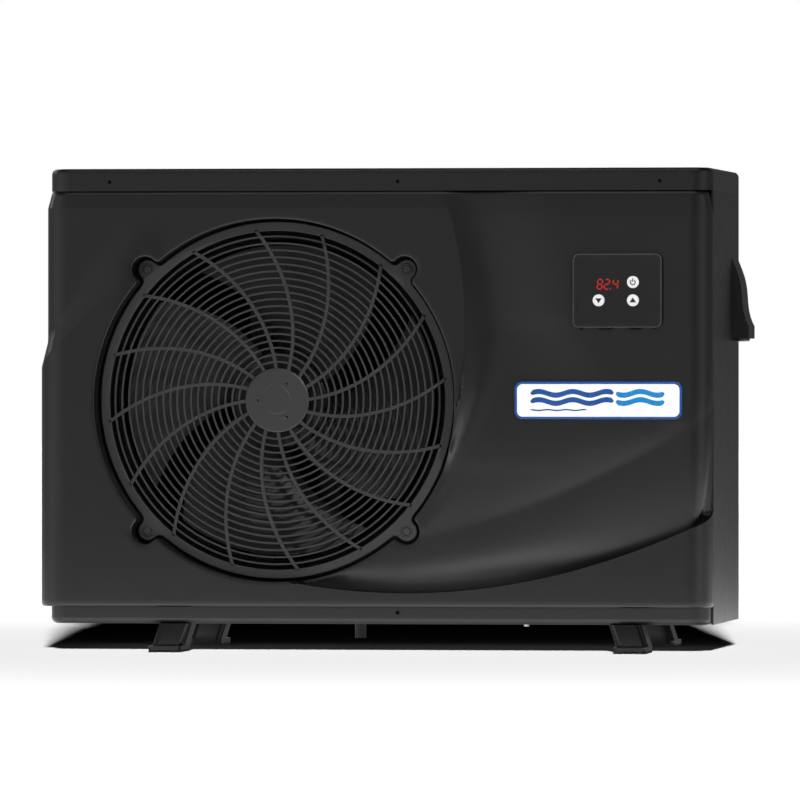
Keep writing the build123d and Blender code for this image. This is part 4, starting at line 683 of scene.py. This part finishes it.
# ---- fan grille ----
RING_PROFILE = ((-1.35, -175.0), (-1.35, -179.4), (-1.05, -179.7), (1.05, -179.7), (1.35, -179.4),
                (1.35, -175.0))
RIB_PROFILE = ((-2.4, -175.5), (-2.4, -179.7), (-2.1, -180.0), (2.1, -180.0), (2.4, -179.7),
               (2.4, -175.5))


def ring_mesh(radius, profile, segments, start=0):
    """One round wire of the grille."""
    rings = [
        [(FAN_X + (radius + across) * math.cos(2 * math.pi * i / segments), y,
          FAN_Z + (radius + across) * math.sin(2 * math.pi * i / segments))
         for i in range(segments)]
        for across, y in profile
    ]
    return rings_to_mesh(rings[::-1], start=start)


def rib_mesh(turn, start=0):
    """A spoke that spirals clockwise as it nears the hub."""
    steps = 30
    centre = []
    for i in range(steps + 1):
        radius = RIB_START_R + (RIM_INNER_R + 3 - RIB_START_R) * i / steps
        angle = math.radians(turn + 0.142 * (RIM_INNER_R - radius))
        centre.append((FAN_X + radius * math.cos(angle), FAN_Z - radius * math.sin(angle)))
    centre = np.array(centre)
    side = sideways_of(np.gradient(centre, axis=0))
    points, faces = [], []
    count = len(RIB_PROFILE)
    for p, n in zip(centre, side):
        points += [(p[0] + n[0] * a, y, p[1] + n[1] * a) for a, y in RIB_PROFILE]
    for i in range(steps):
        faces += strip(start + i * count, start + (i + 1) * count, count)
    faces.append(tuple(start + k for k in reversed(range(count))))
    faces.append(tuple(start + steps * count + k for k in range(count)))
    return points, faces


GROOVE_R, HUB_HOLES_R, HUB_HOLE_R = 21, 27.4, 1.7


def hub_relief(x, z):
    """A shallow dome with three short arc grooves."""
    radius = np.hypot(x, z)
    angle = np.degrees(np.arctan2(z, x))
    depth = 1.2 * (1 - (radius / HUB_R) ** 2)
    groove = np.zeros_like(radius)
    for middle in (30, 150, -90):
        off = np.abs((angle - middle + 180) % 360 - 180)
        groove = np.maximum(
            groove, (1 - ramp(1.2, 2.2, np.abs(radius - GROOVE_R))) * (1 - ramp(36, 42, off))
        )
    return depth - 0.7 * groove


def build_hub():
    """The disc in the middle of the grille, with three small holes."""
    edge = circle_points(0, 0, HUB_R, 96)
    holes = [
        circle_points(HUB_HOLES_R * math.cos(a), HUB_HOLES_R * math.sin(a), HUB_HOLE_R, 16)
        for a in map(math.radians, (60, 180, 300))
    ]
    loose = [(0.0, 0.0)]
    for radius in (4, 9, 14, 17.8, 18.8, 19.8, GROOVE_R, 22.2, 23.2, 24, 31.5, 36, 40, 43):
        loose += circle_points(0, 0, radius, max(12, int(radius * 4)))
    for radius in (25, HUB_HOLES_R, 29.5):
        loose += circle_points(0, 0, radius, 96)
    loose = far_from(loose, holes, 1.0)
    for hole in holes:
        loose = loose[~inside(hole, loose[:, 0], loose[:, 1])]
    flat, triangles, _ = triangulate(edge, holes, [], loose)
    lift = hub_relief(flat[:, 0], flat[:, 1])
    points = [(FAN_X + x, GRILLE_FRONT - h, FAN_Z + z) for (x, z), h in zip(flat, lift)]
    faces = [tuple(int(i) for i in t) for t in triangles]
    hub = add_piece("grille_hub", points, faces, "fan_grille", crease=40.0)
    thicken(hub, 3.5)


BOSS_PROFILE = (8.6, -179.9), (8.0, -181.4), (6.2, -181.4), (5.6, -180.2), (0.5, -180.2)
RING_COUNT, FIRST_RING_R, RING_STEP = 19, 54.6, 9.87
RIB_COUNT, FIRST_RIB_TURN = 16, 15.6


def build_grille():
    """The grille as one moulding: rings, spiral spokes, the eared rim and its screw bosses."""
    points, faces = [], []

    def take(made):
        points.extend(made[0])
        faces.extend(made[1])

    for index in range(RING_COUNT):
        take(ring_mesh(FIRST_RING_R + RING_STEP * index, RING_PROFILE, 144, len(points)))
    for index in range(RIB_COUNT):
        take(rib_mesh(FIRST_RIB_TURN + 360 / RIB_COUNT * index, len(points)))
    outer_r, rim_blend, rounding = RIM_OUTER_R + 3.5, 9, 1.2
    outer = np.array(eared_outline(outer_r, EAR_PAD_R, rim_blend))
    inset = eared_outline(outer_r - rounding, EAR_PAD_R - rounding, rim_blend + rounding)
    angle = np.arctan2(outer[:, 1], outer[:, 0])
    inner = np.stack([np.cos(angle), np.sin(angle)], axis=-1)
    profile = [
        (outer, GRILLE_BACK), (outer, GRILLE_FRONT + rounding), (inset, GRILLE_FRONT),
        (inner * (RIM_INNER_R + 1.0), GRILLE_FRONT), (inner * RIM_INNER_R, GRILLE_FRONT + 1.0),
        (inner * RIM_INNER_R, GRILLE_BACK),
    ]
    rings = [[(FAN_X + x, y, FAN_Z + z) for x, z in ring] for ring, y in profile]
    take(rings_to_mesh(rings, start=len(points)))
    for ear in range(4):
        turn = math.radians(45 + 90 * ear)
        x = FAN_X + EAR_SCREW_R * math.cos(turn)
        z = FAN_Z + EAR_SCREW_R * math.sin(turn)
        boss = [
            [(px, y, pz) for px, pz in circle_points(x, z, r, 32)] for r, y in BOSS_PROFILE
        ]
        take(rings_to_mesh(boss, shut_tube=False, start=len(points)))
    add_piece("fan_guard_rings", points, faces, "fan_grille", replaces=["fan_grille"], crease=30.0)


build_grille()
build_hub()


# ---- cooling fins ----
def build_fins():
    """Thin corrugated plates across both legs of the coil."""
    bottom, top = 66.0, 640.0
    leg_depth, spacing = 36.0, 4.0
    points, faces = [], []
    depth_steps = 8

    def plate(place, leg_start):
        """One fin: place turns its own across, along and height into a point."""
        first = len(points)
        for step in range(depth_steps + 1):
            share = step / depth_steps
            wave = 1.5 if step % 2 else -1.5
            for thick in (-0.12, 0.12):
                for z in (bottom, top):
                    points.append(place(wave + thick, leg_start + leg_depth * share, z))
        for step in range(depth_steps):
            a, b = first + 4 * step, first + 4 * step + 4
            faces.extend([(a, b, b + 1, a + 1), (a + 2, a + 3, b + 3, b + 2),
                          (a, a + 2, b + 2, b), (a + 1, b + 1, b + 3, a + 3)])
        last = first + 4 * depth_steps
        faces.extend([(first, first + 1, first + 3, first + 2), (last, last + 2, last + 3, last + 1)])

    for x in np.arange(-440.0, 98.0, spacing):
        plate(lambda across, along, z, x=x: (x + across, along, z), 140.0)
    for y in np.arange(-106.0, 174.0, spacing):
        plate(lambda across, along, z, y=y: (along, y + across, z), -482.0)
    add_piece("coil_fins", points, faces, "fins", replaces=["evaporator_fins"], crease=20.0)


build_fins()


# ---- badge and keypad ----
def slab(name, loop, front, back, edge, slot, material=None, replaces=()):
    """A flat plate with a rounded front edge, from an outline seen from the front."""
    loop = np.array(loop)
    inward = sideways_of(np.roll(loop, -1, axis=0) - np.roll(loop, 1, axis=0))
    rings = []
    for turn in (0, 30, 60, 90):
        angle = math.radians(turn)
        shift = edge * (1 - math.cos(angle))
        depth = front + edge * (1 - math.sin(angle))
        rings.append([(x, depth, z) for x, z in loop + inward * shift])
    rings.insert(0, [(x, back, z) for x, z in loop])
    points, faces = rings_to_mesh(rings, shut_tube=False)
    count = len(loop)
    faces.append(tuple(reversed(range(count))))
    faces.append(tuple(len(points) - count + i for i in range(count)))
    return add_piece(name, points, faces, slot, material, replaces=replaces, crease=60.0)


def wave_outline(x_start, x_end, z, height, thickness, length):
    """The outline of a wavy stroke."""
    x = np.linspace(x_start, x_end, 60)
    middle = z + height * np.sin(2 * math.pi * (x - BADGE_X) / length)
    taper = thickness / 2 * np.sqrt(np.clip(np.minimum(x - x_start, x_end - x) / 3, 0.02, 1))
    lower = list(zip(x, middle - taper))
    upper = list(zip(x[::-1], (middle + taper)[::-1]))
    return lower + upper


def build_badge():
    """The badge: a white face in a blue rim, with generic waves in place of any lettering."""
    rim = rounded_rectangle(BADGE_X, BADGE_Z, BADGE_W, BADGE_H, 11.0, 10)
    slab("badge_rim", rim, BADGE_RIM_FRONT, BADGE_BACK, 0.5, "badge", BLUE,
         replaces=["badge_plate"])
    face = rounded_rectangle(BADGE_X, BADGE_Z, BADGE_W - 7, BADGE_H - 7, 8.0, 10)
    slab("badge_face", face, BADGE_FACE_FRONT, -207.5, 0.15, "badge")
    wave_front = BADGE_FACE_FRONT - 0.2
    for index, z in enumerate((366.0, 354.5)):
        for name, start, end, paint in (("wave", 188, 306, BLUE), ("swell", 309, 378, CYAN)):
            slab(f"badge_{name}_{index}", wave_outline(start, end, z, 2.6, 7.4, 48.0), wave_front,
                 BADGE_RIM_FRONT, 0.1, "badge", paint)
    slab("badge_underline", wave_outline(188, 268, 342.5, 0.6, 2.0, 26.0), -208.65,
         BADGE_RIM_FRONT, 0.1, "badge", BLUE)


build_badge()

SEGMENTS = {"8": "abcdefg", "2": "abged", "4": "fgbc"}
DIGIT_Z, DIGIT_W, DIGIT_H, DIGIT_SLANT = 512.6, 6.6, 13.6, 0.1
BAR_W, BAR_GAP = 2.0, 0.6


def segment_outline(name, x, z):
    """One bar of a slanted seven-segment digit whose lower left corner is at x, z."""
    width, half, bar = DIGIT_W, DIGIT_H / 2, BAR_W / 2
    bars = {
        "a": ((0, 2 * half), (width, 2 * half)), "b": ((width, half), (width, 2 * half)),
        "c": ((width, 0), (width, half)), "d": ((0, 0), (width, 0)), "e": ((0, 0), (0, half)),
        "f": ((0, half), (0, 2 * half)), "g": ((0, half), (width, half)),
    }
    start, end = map(Vector, bars[name])
    along = (end - start).normalized()
    across = Vector((-along.y, along.x)) * bar
    start, end = start + along * BAR_GAP, end - along * BAR_GAP
    near, far = start + along * bar, end - along * bar
    corners = [start, near - across, far - across, end, far + across, near + across]
    return [(x + DIGIT_SLANT * c.y + c.x, z + c.y) for c in corners]


def prism(outline, front, back, start=0):
    """A straight prism between two depths, from an outline seen from the front."""
    count = len(outline)
    points = [(x, back, z) for x, z in outline] + [(x, front, z) for x, z in outline]
    faces = strip(start, start + count, count)
    faces.append(tuple(start + count + i for i in range(count)))
    faces.append(tuple(start + i for i in reversed(range(count))))
    return points, faces


def build_display():
    """The lit digits behind the window: a generic reading of three digits and a point."""
    outlines = [
        segment_outline(name, x, DIGIT_Z)
        for digit, x in (("8", 282.6), ("2", 292.6), ("4", 304.6))
        for name in SEGMENTS[digit]
    ]
    outlines.append(rounded_rectangle(301.4, 513.0, 2.0, 2.0, 0.6, 2))
    points, faces = [], []
    for outline in outlines:
        made = prism(outline, -210.0, -209.4, len(points))
        points += made[0]
        faces += made[1]
    add_piece("display_digits", points, faces, "display", LED, crease=20.0)


build_display()


def build_bezel_painted_highlight():
    """A thin ring of lighter paint round the front edge of the bezel: a painted highlight standing in
    for the light that its rounded edge catches.
    """
    sizes = ((126.0, 104.0, 9.0, -209.6), (126.0, 104.0, 9.0, -210.2), (125.4, 103.4, 8.7, -210.5),
             (123.6, 101.6, 7.8, -210.5), (123.2, 101.2, 7.6, -210.2), (123.2, 101.2, 7.6, -209.6))
    rings = [
        [(x, y, z) for x, z in rounded_rectangle(CONTROL_X, CONTROL_Z, width, height, radius, 8)]
        for width, height, radius, y in sizes
    ]
    points, faces = rings_to_mesh(rings)
    add_piece("bezel_painted_highlight_ring", points, faces, "bezel", BEZEL_PAINTED_HIGHLIGHT)


build_bezel_painted_highlight()


def build_icons():
    """The arrows and the power sign printed on the keys."""
    front, back = -211.05, -210.85
    triangle = [(-4.6, -2.9), (4.6, -2.9), (0.0, 4.1)]
    up = [(RIGHT_KEYS_X + x, ARROW_KEYS_Z + z) for x, z in triangle]
    down = [(DOWN_KEY_X - x, ARROW_KEYS_Z - z) for x, z in triangle]
    for name, outline, body in (("up_arrow", up, "up_key"), ("down_arrow", down, "down_key")):
        points, faces = prism(outline, front, back)
        add_piece(name, points, faces, "button", ICON, body, crease=20.0)
    power_z = 522.2
    outer, inner = (
        arc_points(RIGHT_KEYS_X, power_z, radius, math.radians(125), math.radians(290), 24)
        for radius in (4.2, 2.7)
    )
    ring = outer + inner[::-1]
    points, faces = prism(ring, front, back)
    stroke = rounded_rectangle(RIGHT_KEYS_X, power_z + 3.0, 1.5, 4.8, 0.5, 3)
    bar = prism(stroke, front, back, len(points))
    add_piece("power_mark", points + bar[0], faces + bar[1], "button", ICON, "power_key", crease=20.0)


build_icons()

# ---- rounding on CAD pieces ----
for width, members in {
    0.4: "fan_blade",
    0.5: "right_side_panel rear_panel power_button up_button down_button",
    0.6: "lid base_pan side_hood electrical_box",
    0.7: "rear_grille left_grille",
    0.8: "union_nut_inlet union_nut_outlet",
    1.0: "foot_front_left foot_front_right foot_rear_left foot_rear_right",
}.items():
    for member in members.split():
        bevel(NODES[member], width)

# ---- studio and camera ----
def collection_of(name):
    """A new collection, for the lamps and cards that light only what is in it."""
    made = bpy.data.collections.new(name)
    bpy.context.scene.collection.children.link(made)
    return made


UNIT, GROUND, LABELS, FAN = map(collection_of, ("unit", "ground", "labels", "fan_parts"))
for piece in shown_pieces():
    UNIT.objects.link(piece)
    if "fan" in piece.name or piece.name in ("grille_hub", "coil_fins", "grille_screws"):
        FAN.objects.link(piece)
    if piece.name.startswith("badge_") or piece.name.endswith("_button"):
        LABELS.objects.link(piece)


def stage_mesh(name, points, faces, material, hidden_from=()):
    """A mesh that belongs to the studio, in metres, unseen by some kinds of ray."""
    mesh = bpy.data.meshes.new(name)
    mesh.from_pydata(points, [], faces)
    mesh.materials.append(material)
    made = bpy.data.objects.new(name, mesh)
    bpy.context.collection.objects.link(made)
    for ray in hidden_from:
        setattr(made, "visible_" + ray, False)
    return made


def glow(name, strength):
    """A material that only gives out white light."""
    paint = bpy.data.materials.new(name)
    paint.use_nodes = True
    tree = paint.node_tree
    tree.nodes.clear()
    light = tree.nodes.new("ShaderNodeEmission")
    light.inputs["Strength"].default_value = strength
    out = tree.nodes.new("ShaderNodeOutputMaterial")
    tree.links.new(light.outputs["Emission"], out.inputs["Surface"])
    return paint


def build_floor():
    """A pale floor with painted shade: a little darker round the unit, standing in for the soft shade
    the unit casts on it. Reflections don't show it.
    """
    shader = Shader("studio_floor")
    reach = shader.node("ShaderNodeVectorMath", operation="LENGTH")
    shader.link(shader.where, reach.inputs[0])
    # Painted shade: the floor's colour darkens towards the unit, for the soft shade round its base.
    painted_shade_falloff = map_range(shader.tree, reach.outputs["Value"], (0.6, 3.0), (0.3, 0.7),
                        interpolation_type="SMOOTHSTEP")
    shader.colour(painted_shade_falloff, grey(0.6), grey(0.82))
    shader.relief(shader.noise(40.0), 0.02, 0.05)
    shader.set(Roughness=0.9, Specular_IOR_Level=0.0)
    half = 60.0
    corners = [(-half, -half, 0), (half, -half, 0), (half, half, 0), (-half, half, 0)]
    floor = stage_mesh("floor", corners, [(0, 1, 2, 3)], shader.material, ["glossy"])
    GROUND.objects.link(floor)


def build_dome():
    """A white backdrop all round, seen only by the camera."""
    radius, levels, around = 42.0, 9, 48
    rings = []
    for level in range(levels):
        height = math.radians(-4 + 94 * level / (levels - 1))
        ring = circle_points(0, 0, radius * math.cos(height), around)
        rings.append([(x, y, radius * math.sin(height)) for x, y in ring])
    points, faces = rings_to_mesh(rings, shut_tube=False)
    unseen = ("diffuse", "glossy", "transmission", "shadow")
    stage_mesh("dome", points, faces, glow("studio_dome", 1.0), unseen)


def reflector(name, x_span, y_span, strength):
    """A glowing card on the floor that only the unit's reflections show."""
    (x1, x2), (y1, y2), z = x_span, y_span, 0.002
    corners = [(x1, y1, z), (x2, y1, z), (x2, y2, z), (x1, y2, z)]
    unseen = ("camera", "diffuse", "transmission", "shadow")
    card = stage_mesh(name, corners, [(0, 1, 2, 3)], glow(name, strength), unseen)
    card.light_linking.receiver_collection = UNIT


build_floor()
build_dome()
reflector("near_reflector", (-0.9, 0.9), (-0.52, -0.26), 2.3)
reflector("front_reflector", (-0.9, 0.9), (-1.3, -0.52), 1.0)
reflector("side_reflector", (0.47, 1.8), (-0.7, 1.6), 1.7)
reflector("left_reflector", (-1.8, -0.52), (-0.7, 1.6), 1.5)

# The studio's brightness in reflections: a level for the upward part of a direction, times a
# share for its part to the right. Behind the unit it falls to SKY_BEHIND of that.
SKY_PEAK, SIDE_PEAK, SKY_BEHIND = 2.0, 1 / 0.62, 0.3
SKY_LEVELS = ((-0.7, 1.95), (-0.5, 1.2), (-0.3, 0.7), (-0.1, 0.58), (0.0, 0.56), (0.12, 0.53),
              (0.47, 0.6), (0.7, 0.3), (1.0, 0.05))
SIDE_LEVELS = ((-1.0, 1.0), (-0.6, 0.78), (-0.2, 0.62), (0.3, 0.28), (0.55, 0.36), (0.85, 0.72),
               (1.0, 0.8))


def grey_ramp(tree, part, levels, peak):
    """A grey ramp over one part of a direction, which runs from -1 to 1."""
    made = tree.nodes.new("ShaderNodeValToRGB")
    elements = made.color_ramp.elements
    while len(elements) < len(levels):
        elements.new(0.5)
    for stop, (place, level) in zip(elements, levels):
        stop.position = (place + 1) / 2
        stop.color = (level / peak, level / peak, level / peak, 1)
    tree.links.new(map_range(tree, part, (-1.0, 1.0), (0.0, 1.0)), made.inputs["Fac"])
    return made.outputs["Color"]


def build_world():
    """The studio's surroundings, which only gloss and the backdrop's gaps show."""
    world = bpy.data.worlds.new("studio")
    bpy.context.scene.world = world
    world.use_nodes = True
    world.cycles_visibility.diffuse = False
    sky = world.node_tree
    split = sky.nodes.new("ShaderNodeSeparateXYZ")
    direction = sky.nodes.new("ShaderNodeTexCoord").outputs["Generated"]
    sky.links.new(direction, split.inputs["Vector"])
    peak = SKY_PEAK * SIDE_PEAK
    behind = map_range(sky, split.outputs["Y"], (-0.4, 0.2), (peak, SKY_BEHIND * peak))
    both = new_node(sky, "ShaderNodeMath", operation="MULTIPLY")
    sky.links.new(behind, both.inputs[0])
    sky.links.new(grey_ramp(sky, split.outputs["X"], SIDE_LEVELS, 1.0), both.inputs[1])
    background = sky.nodes["Background"]
    by_height = grey_ramp(sky, split.outputs["Z"], SKY_LEVELS, SKY_PEAK)
    sky.links.new(by_height, background.inputs["Color"])
    sky.links.new(both.outputs["Value"], background.inputs["Strength"])


build_world()


def lamp(name, kind, place, aim, energy, receivers, size=None, angle=None):
    """A lamp that lights one collection. A sun takes an angle, an area lamp a size."""
    light = bpy.data.lights.new(name, kind)
    light.energy = energy
    if size:
        light.shape = "RECTANGLE"
        light.size, light.size_y = size
    if angle:
        light.angle = math.radians(angle)
    made = bpy.data.objects.new(name, light)
    made.location = place
    made.rotation_mode = "QUATERNION"
    made.rotation_quaternion = (Vector(aim) - Vector(place)).to_track_quat("-Z", "Y")
    bpy.context.collection.objects.link(made)
    made.light_linking.receiver_collection = receivers


def from_direction(azimuth, elevation):
    """A place in front of the unit: azimuth to the right of straight ahead."""
    a, e, distance = math.radians(azimuth), math.radians(elevation), 10.0
    return (distance * math.sin(a) * math.cos(e), -distance * math.cos(a) * math.cos(e),
            distance * math.sin(e))


for name, direction, energy, receivers, angle in (
    ("ground_sun", (8.3, 18), 14.5, GROUND, 3.0), ("fan_key", (42, 35), 2.0, FAN, 2.0),
    ("label_key", (25, 40), 3.2, LABELS, 6.0),
):
    lamp(name, "SUN", from_direction(*direction), (0, 0, 0), energy, receivers, angle=angle)
for name, place, aim_z, energy, size in (
    ("unit_sky", (0.2, -1.0, 4.0), 0.3, 18.0, (3.0, 2.0)),
    ("unit_right", (4.5, -0.8, 2.4), 0.35, 3.0, (1.6, 2.0)),
    ("unit_left", (-4.0, 1.6, 2.2), 0.35, 14.0, (1.4, 2.0)),
    ("unit_back", (-1.5, 4.5, 2.8), 0.3, 45.0, (4.0, 2.0)),
):
    lamp(name, "AREA", place, (0, 0, aim_z), energy, UNIT, size=size)

# The camera stands far off, a little to the right of the unit's right end.
CAMERA_DISTANCE = 14.0
CAMERA_HEIGHT = 0.396
VIEW_RIGHT = math.radians(6.1)
FRONT_Y = -0.2
FRAME_WIDTH = 1.129  # what the picture takes in at the unit's front, in metres
camera_data = bpy.data.cameras.new("camera")
camera = bpy.data.objects.new("camera", camera_data)
bpy.context.collection.objects.link(camera)
camera_place = Vector((
    CASE_RIGHT * MM + CAMERA_DISTANCE * math.tan(VIEW_RIGHT), FRONT_Y - CAMERA_DISTANCE,
    CAMERA_HEIGHT,
))
line_of_sight = Vector((0.0015, FRONT_Y, 0.3565)) - camera_place
camera.location = camera_place
camera.rotation_mode = "QUATERNION"
camera.rotation_quaternion = line_of_sight.to_track_quat("-Z", "Y")
camera_data.sensor_width = 36.0
camera_data.lens = camera_data.sensor_width * line_of_sight.length / FRAME_WIDTH
camera_data.clip_start, camera_data.clip_end = 0.5, 200.0
bpy.context.scene.camera = camera
bpy.context.scene.view_settings.view_transform = "Standard"
